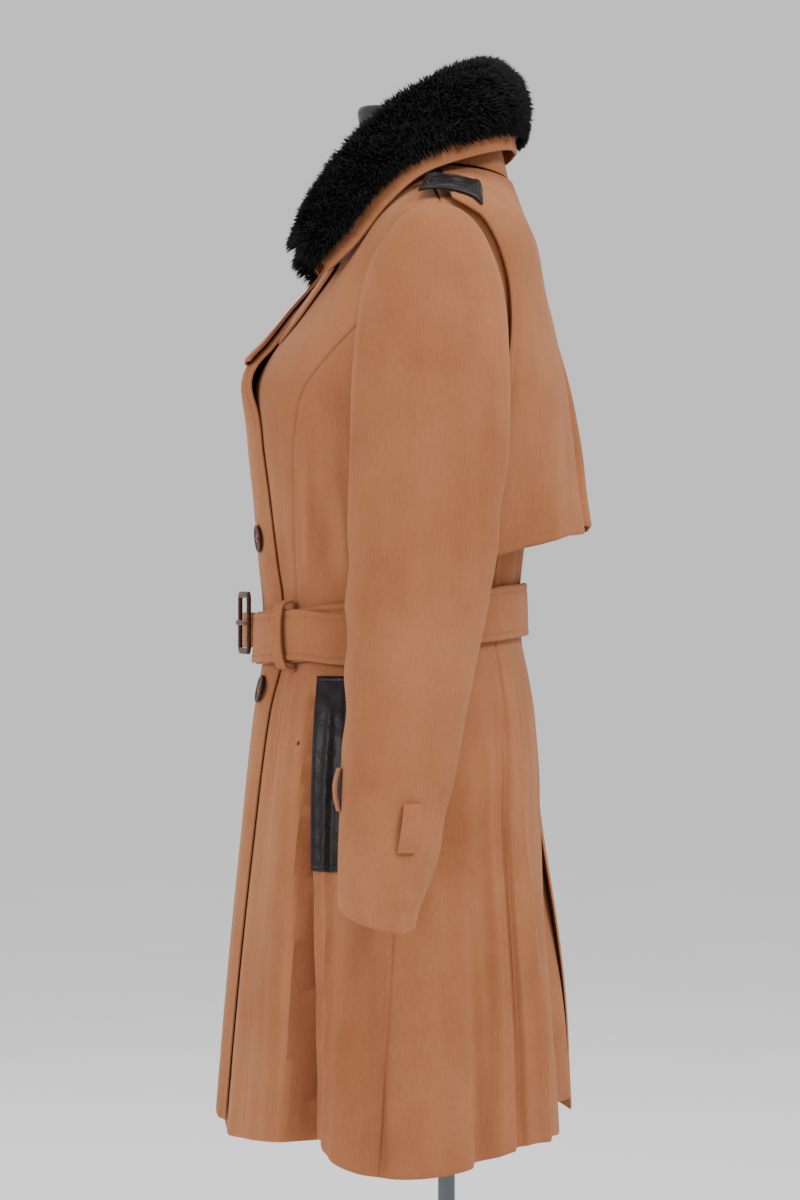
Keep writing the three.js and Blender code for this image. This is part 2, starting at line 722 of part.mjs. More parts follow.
const COLLAR_COLUMNS = 22;
const collarGrid = (fromRatio, toRatio, rows, reach) => makeGrid(COLLAR_COLUMNS, rows, (u, v) => (
  collarPoint(mix(-reach, reach, u), mix(fromRatio, toRatio, v))
));
const collarFace = collarGrid(0, 1, 12, 1);
addPiece("collar", wallGeometry(offsetGrid(collarFace, WALL / 2), offsetGrid(collarFace, -WALL / 2)), wool);

// Fur on the upper collar: its pile is thickest over the fold and thins to the edges
const furRows = [
  { ratio: 0.15, pile: 6 },
  { ratio: 0.35, pile: 11 },
  { ratio: 0.5, pile: 22 },
  { ratio: 0.75, pile: 24 },
  { ratio: 0.92, pile: 10 },
];
const furPile = (u, v) => {
  const endTaper = 0.55 + 0.45 * Math.sqrt(Math.sin(Math.PI * u));
  return readTable(furRows, "ratio", "pile", v) * endTaper;
};
const furBase = WALL / 2 + SEAM;
const furSpan = (grid) => grid.slice(2, 12);
const furOuter = furSpan(offsetGrid(collarFace, (u, v) => furBase + furPile(u, v)));
addPiece("fur_collar", wallGeometry(furOuter, furSpan(offsetGrid(collarFace, furBase))), blackFur);

// Storm flap: one sheet over the upper back with a pleat at its centre. Lifts are how far its
// outer face stands off the body at its sides and at centre back.
const capeLifts = [
  { level: 1036, side: 32, back: 62 },
  { level: 1060, side: 28, back: 56 },
  { level: 1102, side: 22, back: 43 },
  { level: 1143, side: 15, back: 33 },
  { level: 1192, side: 10, back: 22 },
  { level: 1243, side: 5.6, back: 12 },
  { level: 1286, side: 5.8, back: 5.4 },
  { level: 1330, side: 7.4, back: 4.8 },
  { level: 1384, side: 4.6, back: 4.4 },
];
const capeSides = [
  { level: 1030, angle: 117 },
  { level: 1100, angle: 120 },
  { level: 1150, angle: 124 },
  { level: 1200, angle: 127 },
  { level: 1235, angle: 128.5 },
  { level: 1264, angle: 126.5 },
  { level: 1285, angle: 122 },
  { level: 1302, angle: 116 },
  { level: 1314, angle: 109 },
  { level: 1322, angle: 98 },
  { level: 1386, angle: 96 },
];
const capeBottoms = [
  { own: 117, level: 1043 },
  { own: 135, level: 1054 },
  { own: 150, level: 1063 },
  { own: 165, level: 1067 },
  { own: 180, level: 1070 },
];
const capeLevels = [1384, 1364, 1342, 1320, 1298, 1264, 1230, 1190, 1148, 1105];
const CAPE_FAR_LIFT = 11;
const PLEAT_HALF = 14;
const PLEAT_FLOOR = 6;
const PLEAT_DEPTH = 17;

function capeLift(own, level, side) {
  const towardBack = smooth((own - 112) / 60);
  const atSide = readTable(capeLifts, "level", "side", level);
  const atBack = readTable(capeLifts, "level", "back", level);
  const farther = CAPE_FAR_LIFT * smooth((1285 - level) / 160) * smooth((own - 125) / 45);
  return mix(atSide, atBack, towardBack) + (side < 0 ? farther : 0);
}

// Columns go from the left edge, round the back, to the right edge. The four in the middle
// are the pleat's two fold edges and its floor.
function capeColumns() {
  const spread = [0, 0.13, 0.27, 0.42, 0.57, 0.72, 0.86, 1];
  const left = spread.map((share) => ({ side: 1, share, across: PLEAT_HALF, sunk: 0 }));
  const right = spread.map((share) => ({ side: -1, share, across: PLEAT_HALF, sunk: 0 })).reverse();
  const floor = [1, -1].map((side) => ({ side, share: 1, across: PLEAT_FLOOR, sunk: 1 }));
  return [...left, ...floor, ...right];
}

function capePoint(column, level) {
  const opening = smooth((1300 - level) / 240);
  const across = mix(3, column.across, opening) * (column.sunk ? 0.9 : 1);
  const turn = THREE.MathUtils.radToDeg(Math.asin(across / ringColumn("half", level)));
  const own = mix(readTable(capeSides, "level", "angle", level), 180 - turn, column.share);
  const out = capeLift(own, level, column.side);
  const sunk = column.sunk * clamp(out - 9, 0, PLEAT_DEPTH) * opening;
  const point = bodyPoint(column.side * own, level);
  return point.addScaledVector(bodyNormal(column.side * own, level), out - sunk);
}

const capeFace = [...capeLevels, 0].map((level) => capeColumns().map((column) => {
  const end = mix(117, 180, column.share);
  const bottom = readTable(capeBottoms, "own", "level", end) + (column.side < 0 ? 7 * column.share : 0);
  return capePoint(column, level || bottom);
}));
addPiece("storm_flap", wallGeometry(capeFace, offsetGrid(capeFace, WALL)), wool);

// Belt: a band round the waist, lower at the front, over whichever front lies outside
function outerLift(angle, level) {
  const turn = angle > 180 ? angle - 360 : angle;
  const across = -bodyPoint(turn, level).x;
  const wrap = turn > -90 && turn < 90 ? wrapLift(across) : 0;
  return wrap * smooth((OVERLAP + 40 + across) / 38);
}

function beltPoint(angle, upward, out) {
  const middle = BELT_LEVEL - BELT_TILT * Math.cos(radians(angle));
  const level = middle + upward;
  const overHip = 2.2 * smooth(-upward / BELT_HEIGHT);
  const lift = outerLift(angle, level) + overHip + out;
  return bodyPoint(angle, level).addScaledVector(bodyNormal(angle, BELT_LEVEL), lift);
}

function band(columns, fromAngle, toAngle, height, inner, thick) {
  const gridAt = (out) => makeGrid(columns, 1, (u, v) => (
    beltPoint(mix(fromAngle, toAngle, u), (v - 0.5) * height, out)
  ));
  return wallGeometry(gridAt(inner + thick), gridAt(inner));
}

const BELT_SEAT = 1.8;
const TAIL_SEAT = BELT_SEAT + BELT_THICK + 0.8;
const TAIL_THICK = 4;
addPiece("belt", band(56, 12, 351, BELT_HEIGHT, BELT_SEAT, BELT_THICK), wool);
addPiece("belt_tail", band(14, 15, 82, BELT_HEIGHT - 3, TAIL_SEAT, TAIL_THICK), wool);

// A strap that follows a row of points, each with its own outward and sideways directions
function strapGeometry(stops, width, thick) {
  const outer = stops.map((stop) => [-1, 1].map((end) => (
    stop.point.clone().addScaledVector(stop.sideways, (end * width) / 2)
  )));
  return wallGeometry(offsetGrid(outer, thick), outer);
}

// Belt loops stand over the belt at the front seams
const LOOP_WIDTH = 12;
const LOOP_THICK = 2.2;
const loopStops = [
  { upward: -37, out: -0.8 },
  { upward: -29, out: -0.8 },
  { upward: -26, out: 8 },
  { upward: 0, out: 13 },
  { upward: 26, out: 8 },
  { upward: 29, out: 0.2 },
  { upward: 37, out: 0.2 },
];

function beltLoop(angle, clearance) {
  const stops = loopStops.map((stop) => {
    const over = stop.out > 1 ? clearance : 0;
    const seat = beltPoint(angle, stop.upward, 1.2 + stop.out + over);
    const sideways = beltPoint(angle + 1, stop.upward, 0);
    sideways.sub(beltPoint(angle - 1, stop.upward, 0)).normalize();
    return { point: seat, sideways };
  });
  return strapGeometry(stops, LOOP_WIDTH, LOOP_THICK);
}

addPiece("belt_loop_left", beltLoop(40, 1.5), wool);
addPiece("belt_loop_right", beltLoop(-40, -2.5), wool);

// Buckle: an open frame with a prong, turned a little so that its far end stands off the belt
const buckle = { across: 18, width: 52, height: 58, bar: 6, thick: 4, turn: 13, raised: 14 };
const BUCKLE_SEAT = 3.7;

function roundedOutline(path, width, height, radius) {
  const x = width / 2;
  const y = height / 2;
  path.moveTo(x - radius, -y);
  path.absarc(x - radius, -y + radius, radius, -Math.PI / 2, 0, false);
  path.absarc(x - radius, y - radius, radius, 0, Math.PI / 2, false);
  path.absarc(-x + radius, y - radius, radius, Math.PI / 2, Math.PI, false);
  path.absarc(-x + radius, -y + radius, radius, Math.PI, Math.PI * 1.5, false);
  return path;
}

const buckleShape = roundedOutline(new THREE.Shape(), buckle.width, buckle.height, 8);
buckleShape.holes.push(
  roundedOutline(new THREE.Path(), buckle.width - 2 * buckle.bar, buckle.height - 2 * buckle.bar, 4),
);
const buckleGroup = new THREE.Group();
const buckleY = beltPoint(0, 0, TAIL_SEAT + TAIL_THICK + BUCKLE_SEAT).y;
buckleGroup.position.set(buckle.across, buckleY, BELT_LEVEL - BELT_TILT + buckle.raised);
buckleGroup.rotation.set(Math.PI / 2, 0, 0);
buckleGroup.rotation.order = "ZXY";
buckleGroup.rotation.z = radians(buckle.turn);
coat.add(buckleGroup);
const frameGeometry = new THREE.ExtrudeGeometry(buckleShape, {
  depth: buckle.thick,
  bevelEnabled: false,
  curveSegments: 3,
});
addPiece("buckle_frame", frameGeometry, darkHorn, buckleGroup);
const PRONG_WIDTH = 5;
const PRONG_THICK = 2.4;
const prongGeometry = new THREE.BoxGeometry(buckle.width - 4, PRONG_WIDTH, PRONG_THICK);
const prong = addPiece("buckle_prong", prongGeometry, darkHorn, buckleGroup);
prong.position.z = buckle.thick + PRONG_THICK / 2 + SEAM;

// Buttons in two columns on the right front, each with four thread holes
function roundPoints(x, y, radius, count) {
  const points = [];
  for (let i = 0; i < count; i += 1) {
    const turn = (i / count) * Math.PI * 2;
    points.push(new THREE.Vector2(x + radius * Math.cos(turn), y + radius * Math.sin(turn)));
  }
  return points;
}

const buttonShape = new THREE.Shape(roundPoints(0, 0, BUTTON_RADIUS, 24));
for (const [holeX, holeY] of [[3, 3], [-3, 3], [-3, -3], [3, -3]]) {
  buttonShape.holes.push(new THREE.Path(roundPoints(holeX, holeY, 1.3, 6)));
}
const BUTTON_THICK = 3;
const buttonGeometry = new THREE.ExtrudeGeometry(buttonShape, {
  depth: BUTTON_THICK,
  bevelEnabled: false,
});
const buttonPlaces = [
  { name: "button_upper_left", across: 52, height: 1057, seat: 0.4 },
  { name: "button_upper_right", across: -52, height: 1057, seat: 0.4 },
  { name: "button_lower_left", across: 56, height: 917, seat: 0.45 },
  { name: "button_lower_right", across: -56, height: 917, seat: 0.35 },
];
for (const place of buttonPlaces) {
  const target = { x: -place.across, z: place.height };
  const own = findOnBody("x", "z", target, { angle: -place.across * 0.35, level: place.height });
  const lift = frontLift(-1, own.angle, own.level) + place.seat;
  const button = addPiece(place.name, buttonGeometry.clone(), darkHorn);
  button.position.copy(coatPoint(-own.angle, own.level, lift));
  button.lookAt(button.position.clone().add(bodyNormal(-own.angle, own.level)));
}

// A flat piece laid on the cloth between two own-side angles and two levels
function laidPiece(side, angles, levels, columns, rows, seat, thick) {
  const gridAt = (out) => makeGrid(columns, rows, (u, v) => {
    const level = mix(levels[0], levels[1], v);
    return coatPoint(side * mix(angles[0], angles[1], u), level, out);
  });
  return wallGeometry(gridAt(seat + thick), gridAt(seat));
}

const LEATHER = 2.4;
const WELT_ANGLES = [55, 70];
const WELT_LEVELS = [766, 932];
const welts = [
  { side: 1, name: "left", seat: 1 },
  { side: -1, name: "right", seat: 0.7 },
];
for (const { side, name, seat } of welts) {
  const welt = laidPiece(side, WELT_ANGLES, WELT_LEVELS, 6, 8, seat, LEATHER);
  addPiece(`pocket_welt_${name}`, welt, blackLeather);
}

// Shoulder straps lie over the shoulder seam and the storm flap's upper edge
const strapRows = [
  { across: 122, front: -19, back: 23 },
  { across: 145, front: -21, back: 26 },
  { across: 170, front: -23, back: 25 },
  { across: 182, front: -25, back: 24 },
];
const STRAP_SEAT = 8.2;

function shoulderStrap(side) {
  const gridAt = (out) => makeGrid(5, 6, (u, v) => {
    const x = mix(strapRows[3].across, strapRows[0].across, v);
    const frontY = readTable(strapRows, "across", "front", x);
    const backY = readTable(strapRows, "across", "back", x);
    const y = mix(frontY, backY, u);
    const { angle, level } = findOnBody("x", "y", { x: x - 2, y }, { angle: 90 + y * 0.5, level: 1330 });
    return bodyPoint(side * angle, level).addScaledVector(bodyNormal(side * angle, level), out);
  });
  return wallGeometry(gridAt(STRAP_SEAT + LEATHER), gridAt(STRAP_SEAT));
}

addPiece("shoulder_strap_left", shoulderStrap(1), blackLeather);
addPiece("shoulder_strap_right", shoulderStrap(-1), blackLeather);

// Loops for a cuff strap, two on each sleeve
const cuffLoops = [
  { name: "outer", turn: 19, seat: 0.2, from: 69.8, to: 77.8 },
  { name: "front", turn: -84, seat: 0, from: 64.6, to: 71.3 },
];
const cuffLoopStops = [
  { share: 0, out: 1.2 },
  { share: 0.1, out: 2.4 },
  { share: 0.35, out: 4.2 },
  { share: 0.65, out: 3.6 },
  { share: 0.9, out: 1.4 },
  { share: 1, out: 0.6 },
];
for (const loop of cuffLoops) {
  const gridAt = (out) => cuffLoopStops.map((stop) => [-10, 0, 10].map((turn) => (
    sleevePoint(loop.turn + turn, mix(loop.from, loop.to, stop.share), stop.out + loop.seat + out)
  )));
  const [inner, outer] = [gridAt(0), gridAt(LOOP_THICK)];
  addPiece(`cuff_loop_${loop.name}_left`, wallGeometry(outer, inner), wool);
  addPiece(`cuff_loop_${loop.name}_right`, wallGeometry(mirrorGrid(outer), mirrorGrid(inner)), wool);
}

// Pleat underlay behind the open centre-back vent. It lies under both backs, clear of their
// folds, and crosses from one to the other where the vent is open.
const UNDERLAY_SEAT = 2.2;
const UNDERLAY_FOLDS = 10;
const underlaySpan = { bottom: 530, top: VENT_LEVEL - 40, left: 62, right: -84 };
const underlay = makeGrid(8, 7, (u, v) => {
  const level = mix(underlaySpan.bottom, underlaySpan.top, v);
  const across = mix(underlaySpan.left, underlaySpan.right, u) * mix(1, 0.5, v);
  const turn = THREE.MathUtils.radToDeg(Math.asin(across / ringColumn("half", level)));
  const rightShare = smooth((24 - across) / 68);
  const own = 180 - Math.abs(turn);
  const lean = mix(ventLean(1, own, level), ventLean(-1, own, level), rightShare);
  const foldRoom = UNDERLAY_FOLDS * smooth((900 - level) / 380);
  const angle = 180 - turn;
  const out = lean - WALL - UNDERLAY_SEAT - foldRoom;
  return bodyPoint(angle, level).addScaledVector(bodyNormal(angle, level), out);
});
addPiece("vent_underlay", wallGeometry(underlay, offsetGrid(underlay, WALL)), wool);

// Dress form: a smooth torso just inside the shoulders and clear of the coat elsewhere
const formLevels = [
  FORM_BOTTOM, 818, 850, 890, 930, 965, 1000, 1040, 1085,
  1130, 1175, 1215, 1250, 1285, 1318, 1340, 1360, 1380,
];
const FORM_COLUMNS = 24;
const neckRings = [
  { z: 1400, y: -18, halfX: 54, halfY: 58, tilt: 0.1 },
  { z: 1425, y: -24, halfX: 51, halfY: 56, tilt: 0.12 },
  { z: 1446, y: -28, halfX: 50, halfY: 55, tilt: 0.14 },
  { z: 1450, y: -29, halfX: 46, halfY: 51, tilt: 0.14 },
];

const FORM_GAP = 0.7;

function formInset(angle, level) {
  const own = Math.abs(angle > 180 ? angle - 360 : angle);
  const onShoulder = smooth((level - 1306) / 40) * smooth((48 - Math.abs(own - 92)) / 26);
  const deep = level < 900 ? 20 : 15;
  return mix(deep, WALL + FORM_GAP, onShoulder) + (level > 1360 ? 5 : 0);
}

const formRings = formLevels.map((level) => {
  const ring = [];
  for (let c = 0; c < FORM_COLUMNS; c += 1) {
    const angle = (360 * c) / FORM_COLUMNS;
    const rounding = level === FORM_BOTTOM ? 6 : 0;
    const point = bodyPoint(angle, level);
    ring.push(point.addScaledVector(bodyNormal(angle, level), -formInset(angle, level) - rounding));
    if (level === FORM_BOTTOM) ring[c].z = FORM_BOTTOM;
  }
  return ring;
});
for (const neck of neckRings) {
  const ring = [];
  for (let c = 0; c < FORM_COLUMNS; c += 1) {
    const angle = radians((360 * c) / FORM_COLUMNS);
    const y = neck.y - neck.halfY * Math.cos(angle);
    ring.push(new THREE.Vector3(neck.halfX * Math.sin(angle), y, neck.z + neck.tilt * (neck.y - y)));
  }
  formRings.push(ring);
}
addPiece("dress_form", ringStack(formRings), formCloth);

// Stand: a pole into the form and a round base on the floor
const HUB_HEIGHT = 14;
const HUB_RADIUS = POLE_RADIUS + 8;
const poleBottom = BASE_THICK + HUB_HEIGHT + SEAM;
const poleLength = FORM_BOTTOM - SEAM - poleBottom;
const poleGeometry = new THREE.CylinderGeometry(POLE_RADIUS, POLE_RADIUS, poleLength, 20);
const pole = addPiece("stand_pole", poleGeometry, greySteel);
pole.rotation.x = Math.PI / 2;
pole.position.z = poleBottom + poleLength / 2;
const baseProfile = [
  [0, 0],
  [BASE_RADIUS - 2, 0],
  [BASE_RADIUS, 2],
  [BASE_RADIUS, BASE_THICK - 4],
  [BASE_RADIUS - 4, BASE_THICK],
  [HUB_RADIUS + 6, BASE_THICK + 2],
  [HUB_RADIUS, BASE_THICK + HUB_HEIGHT],
  [0, BASE_THICK + HUB_HEIGHT],
].map(([x, y]) => new THREE.Vector2(x, y));
const base = addPiece("stand_base", new THREE.LatheGeometry(baseProfile, 30), greySteel);
base.rotation.x = Math.PI / 2;

export default coat;
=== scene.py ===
# Camel wool trench coat on a dress form: the cloth, fur, leather and fittings, and the studio.
# Sizes are in millimetres until a mesh is made, and every mesh is in metres. +Z is up, the
# coat's front faces -Y and the wearer's left is +X. Angles go round the body in degrees: 0 is
# centre front, 90 the left side and 180 centre back.
import math
import bpy
import numpy as np
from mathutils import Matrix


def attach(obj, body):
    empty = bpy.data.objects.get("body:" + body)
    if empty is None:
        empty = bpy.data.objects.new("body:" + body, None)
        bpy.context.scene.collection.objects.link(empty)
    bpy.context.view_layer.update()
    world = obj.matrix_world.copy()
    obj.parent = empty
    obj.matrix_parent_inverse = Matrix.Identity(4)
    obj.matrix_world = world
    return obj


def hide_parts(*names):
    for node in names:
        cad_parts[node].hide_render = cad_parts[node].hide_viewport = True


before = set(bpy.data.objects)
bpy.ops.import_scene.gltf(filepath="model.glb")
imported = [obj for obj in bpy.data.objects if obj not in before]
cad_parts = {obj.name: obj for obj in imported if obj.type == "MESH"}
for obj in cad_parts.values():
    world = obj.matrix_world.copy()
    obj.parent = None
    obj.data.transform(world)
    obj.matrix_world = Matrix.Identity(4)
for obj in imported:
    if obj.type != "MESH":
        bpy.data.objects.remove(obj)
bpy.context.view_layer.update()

rng = np.random.default_rng(7)

MM = 0.001
WALL = 2.6
SEAM = 0.3
NECK_LEVEL = 1386
TIP_LEVEL = 1320
BREAK_LEVEL = 1205
VENT_LEVEL = 850
HEM_LEVEL = 516
OVERLAP = 75
WRAP_LIFT = 9
BELT_LEVEL = 978
BELT_TILT = 13
BELT_HEIGHT = 48
BELT_THICK = 4.6
BELT_SEAT = 1.8
TAIL_SEAT = BELT_SEAT + BELT_THICK + 0.8
TAIL_THICK = 4

# The coat's outer face without folds: level, half width, front and back depth in Y, and the
# fullness that squares the front and the back corners
BODY_RINGS = [
    (500, 252, -207, 112, 0.05, 0.05),
    (600, 238, -199, 106, 0.05, 0.05),
    (700, 222, -190, 97, 0.05, 0.05),
    (800, 205, -180, 87, 0.05, 0.06),
    (850, 195, -175, 85, 0.05, 0.07),
    (900, 179, -169, 81, 0.05, 0.07),
    (935, 158, -163, 75, 0.05, 0.07),
    (960, 147, -161, 70, 0.06, 0.08),
    (1000, 142, -162, 68, 0.06, 0.09),
    (1030, 147, -165, 70, 0.07, 0.1),
    (1100, 165, -171, 79, 0.08, 0.12),
    (1150, 177, -176, 85, 0.08, 0.14),
    (1200, 186, -177, 89, 0.05, 0.16),
    (1260, 190, -142, 87, -0.04, 0.17),
    (1320, 188, -109, 81, -0.08, 0.15),
    (1353, 130, -97, 69, -0.05, 0.1),
    (1386, 72, -88, 57, 0, 0.04),
]
HALF, FRONT, BACK, FULL_FRONT, FULL_BACK = 1, 2, 3, 4, 5

# How far each ring's front, side and back are lifted: the upper rings tip over the shoulders
RING_LIFTS = [
    (1140, 0, 0, 0),
    (1200, 0, 2, 0),
    (1260, -8, 22, 2),
    (1320, -24, 22, -8),
    (1353, -28, 12, -3),
    (1386, -40, 4, 0),
]

# Seam lines: level and own-side angle
FRONT_SEAM = [
    (500, 33), (770, 31), (900, 35), (1000, 41), (1100, 45),
    (1165, 50), (1195, 57), (1225, 68), (1260, 88), (1300, 110),
]
SIDE_SEAM = [(500, 84), (700, 89), (1000, 94), (1141, 101)]
BACK_SEAM = [(500, 135), (700, 136), (1100, 137), (1160, 134), (1200, 127), (1240, 112), (1300, 80)]

# Where a front's edge turns back as the lapel: level and own-side place across
ROLL_LINE = [(1205, -75), (1260, -38), (1320, 6), (1353, 36), (1386, 64)]

# Folds that hang from the belt: angle, half width in degrees, level of their start, height
SKIRT_FOLDS = [
    (24, 9, 860, 4), (46, 9, 900, -6), (61, 12, 925, -22), (75, 11, 900, 7), (92, 10, 700, -7),
    (108, 10, 760, 7), (122, 9, 880, -9), (143, 7, 920, 6), (152, 6, 900, -9), (162, 6, 880, 5),
    (-46, 10, 900, -10), (-62, 9, 910, 7), (-80, 10, 800, -8), (-104, 11, 760, 8),
    (-124, 9, 880, -10), (-144, 8, 900, 6), (-157, 6, 890, -7),
]

# Cloth that blouses over the belt: angle, half width in degrees, level of their end, height
WAIST_FOLDS = [
    (62, 9, 1120, -5), (112, 9, 1110, -5), (133, 7, 1090, -5), (150, 7, 1085, 5),
    (166, 6, 1080, -5), (-60, 9, 1120, -5), (-95, 9, 1110, 4), (-128, 8, 1095, -5),
    (-152, 7, 1085, 5),
]

# Soft creases of the body, finer than the folds: start angle and level, end angle and level,
# half width in mm, height
BODY_CREASES = [
    (53, 915, 58, 330, 13, -19),
    (63.5, 900, 67, 330, 11, 8),
    (29, 940, 28, 420, 16, -3),
    (42, 950, 45, 380, 12, 4),
    (84, 720, 86, 360, 18, -9),
    (100, 820, 104, 380, 30, 4),
    (116, 760, 119, 360, 17, -10),
    (127, 860, 124, 420, 12, 5),
    (135, 900, 133, 420, 10, -11),
    (143, 900, 142, 420, 8, 6),
    (-50, 900, -54, 330, 14, -16),
    (-63, 880, -67, 330, 12, 7),
    (-98, 820, -100, 380, 30, 4.5),
    (-112, 700, -113, 380, 24, -4),
    (-131, 900, -132, 420, 20, 4.5),
    (-148, 880, -150, 420, 15, 4.5),
    (30, 955, 27, 760, 12, -2.2),
    (37, 950, 41, 640, 16, 2.4),
    (70, 760, 72, 560, 16, -2.5),
    (84, 700, 85, 540, 18, 2.2),
    (100, 640, 99, 530, 18, -2.4),
    (116, 820, 118, 560, 18, 2.6),
    (130, 935, 128, 700, 14, -2.6),
    (139, 940, 141, 620, 10, 2.4),
    (147, 930, 148, 800, 8, -2),
    (-20, 940, -24, 640, 14, -2.2),
    (-33, 950, -36, 600, 15, 2.4),
    (-54, 940, -52, 560, 14, -2.8),
    (-71, 900, -70, 540, 15, 2.6),
    (-92, 860, -93, 540, 17, -2.4),
    (-116, 930, -114, 560, 16, 2.6),
    (-135, 940, -134, 560, 12, -2.8),
    (-151, 930, -152, 600, 9, 2.4),
    (-168, 900, -168, 640, 10, 2.4),
    (168, 900, 168, 640, 10, 2),
    (33, 1015, 36, 1130, 14, -2.2),
    (50, 1012, 55, 1150, 13, 2.4),
    (74, 1014, 70, 1120, 12, -2.6),
    (142, 1012, 140, 1080, 9, -2.4),
    (158, 1010, 160, 1080, 9, 2.6),
    (175, 1010, 172, 1080, 9, -2.2),
    (-18, 1014, -22, 1140, 14, -2),
    (-40, 1012, -44, 1140, 13, 2.4),
    (-76, 1014, -72, 1130, 12, -2.6),
    (-112, 1012, -108, 1090, 12, -2.4),
    (-140, 1012, -138, 1080, 9, 2.6),
    (-166, 1010, -168, 1080, 9, -2.4),
    (52, 1190, 70, 1160, 16, 1.8),
    (-52, 1190, -70, 1160, 16, 1.8),
]


def smooth(amount):
    t = np.clip(amount, 0, 1)
    return t * t * (3 - 2 * t)


def bell(offset):
    return np.where(np.abs(offset) >= 1, 0, np.cos(np.clip(offset, -1, 1) * math.pi / 2) ** 2)


def mix(a, b, share):
    return a + (b - a) * share


def read_table(rows, column, place):
    """One column at a place of the first column, on a smooth curve through the rows."""
    table = np.array(rows, float)
    places, values = table[:, 0], table[:, column]
    last = len(places) - 1
    index = np.arange(len(places))
    before, after = np.maximum(index - 1, 0), np.minimum(index + 1, last)
    slopes = (values[after] - values[before]) / (places[after] - places[before])
    place = np.clip(np.asarray(place, float), places[0], places[-1])
    i = np.clip(np.searchsorted(places, place, side="right") - 1, 0, last - 1)
    span = places[i + 1] - places[i]
    t = (place - places[i]) / span
    bend = (t**3 - 2 * t**2 + t) * slopes[i] * span + (t**3 - t**2) * slopes[i + 1] * span
    return mix(values[i], values[i + 1], 3 * t**2 - 2 * t**3) + bend


def unit(vectors):
    return vectors / np.maximum(np.linalg.norm(vectors, axis=-1, keepdims=True), 1e-9)


def body_point(angle, level):
    angle, level = np.broadcast_arrays(np.asarray(angle, float), np.asarray(level, float))
    sine, cosine = np.sin(np.radians(angle)), np.cos(np.radians(angle))
    front, back = read_table(BODY_RINGS, FRONT, level), read_table(BODY_RINGS, BACK, level)
    ahead = cosine > 0
    full = np.where(ahead, read_table(BODY_RINGS, FULL_FRONT, level),
                    read_table(BODY_RINGS, FULL_BACK, level))
    end_lift = np.where(ahead, read_table(RING_LIFTS, 1, level), read_table(RING_LIFTS, 3, level))
    x = read_table(BODY_RINGS, HALF, level) * sine * (1 + full * cosine**2)
    y = (front + back) / 2 - (back - front) / 2 * cosine * (1 + full * sine**2)
    z = level + read_table(RING_LIFTS, 2, level) * sine**2 + end_lift * cosine**2
    return np.stack([x, y, z], axis=-1)


def body_normal(angle, level):
    around = body_point(angle + 0.5, level) - body_point(angle - 0.5, level)
    upward = body_point(angle, level + 0.5) - body_point(angle, level - 0.5)
    return unit(np.cross(around, upward))


def signed_turn(angle):
    return np.where(angle > 180, angle - 360, angle)


def fold_height(angle, level):
    turn = signed_turn(angle)
    skirt = 0
    for centre, width, start, height in SKIRT_FOLDS:
        growth = smooth((start - level) / (start - HEM_LEVEL))
        skirt = skirt + height * growth * bell((turn - centre) / width)
    waist = 0
    clear_of_belt = smooth((level - BELT_LEVEL - BELT_HEIGHT / 2) / 40)
    for centre, width, end, height in WAIST_FOLDS:
        waist = waist + height * smooth((end - level) / 70) * bell((turn - centre) / width)
    return np.where(level < BELT_LEVEL, skirt, waist * clear_of_belt)


def crease_height(across, along, creases):
    """Ridges and troughs along straight lines in a face's own millimetres."""
    height = 0
    for start_x, start_y, end_x, end_y, width, rise in creases:
        run_x, run_y = end_x - start_x, end_y - start_y
        length = run_x**2 + run_y**2
        share = np.clip(((across - start_x) * run_x + (along - start_y) * run_y) / length, 0, 1)
        away = np.hypot(across - start_x - share * run_x, along - start_y - share * run_y)
        taper = 0.25 + 0.75 * np.sin(math.pi * np.clip(share, 0.02, 0.98))
        height = height + rise * taper * bell(away / (width * (0.7 + 0.5 * share)))
    return height


DEGREE = 3.1  # mm of cloth to a degree round the body


def body_creases(angle, level):
    turn = signed_turn(angle)
    rows = [(a * DEGREE, b, c * DEGREE, d, width, rise) for a, b, c, d, width, rise in BODY_CREASES]
    under_belt = bell((level - BELT_LEVEL) / 34)
    return crease_height(turn * DEGREE, level, rows) * (1 - under_belt)


def coat_point(angle, level, out=0):
    lift = fold_height(angle, level) + out
    return body_point(angle, level) + body_normal(angle, level) * lift[..., None]


def find_on_body(first, second, target_first, target_second, angle, level):
    """The angles and levels where the body's face has two wanted coordinates."""
    shape = np.broadcast(target_first, target_second, angle, level).shape
    angle, level = np.broadcast_to(angle, shape).astype(float), np.broadcast_to(level, shape).astype(float)
    step = 0.01
    for _ in range(40):
        here = body_point(angle, level)
        by_angle = (body_point(angle + step, level) - here) / step
        by_level = (body_point(angle, level + step) - here) / step
        miss_first = target_first - here[..., first]
        miss_second = target_second - here[..., second]
        scale = by_angle[..., first] * by_level[..., second] - by_angle[..., second] * by_level[..., first]
        turn = (miss_first * by_level[..., second] - miss_second * by_level[..., first]) / scale
        climb = (by_angle[..., first] * miss_second - by_angle[..., second] * miss_first) / scale
        angle = angle + np.clip(turn, -4, 4)
        level = level + np.clip(climb, -12, 12)
    return angle, level


def angle_across(across, level):
    """The own-side angle at which the body is this far across, in front of the side."""
    low = np.full(np.shape(level), -80.0)
    high = np.full(np.shape(level), 89.0)
    for _ in range(40):
        middle = (low + high) / 2
        less = body_point(middle, level)[..., 0] < across
        low, high = np.where(less, middle, low), np.where(less, high, middle)
    return (low + high) / 2


def add_node(tree, kind, settings=None, links=None):
    """A shader node with its settings, by socket or property name, and its incoming links."""
    node = tree.nodes.new(kind)
    for name, value in (settings or {}).items():
        if isinstance(name, int) or name in node.inputs:
            node.inputs[name].default_value = value
        else:
            setattr(node, name, value)
    for name, source in (links or {}).items():
        tree.links.new(source, node.inputs[name])
    return node


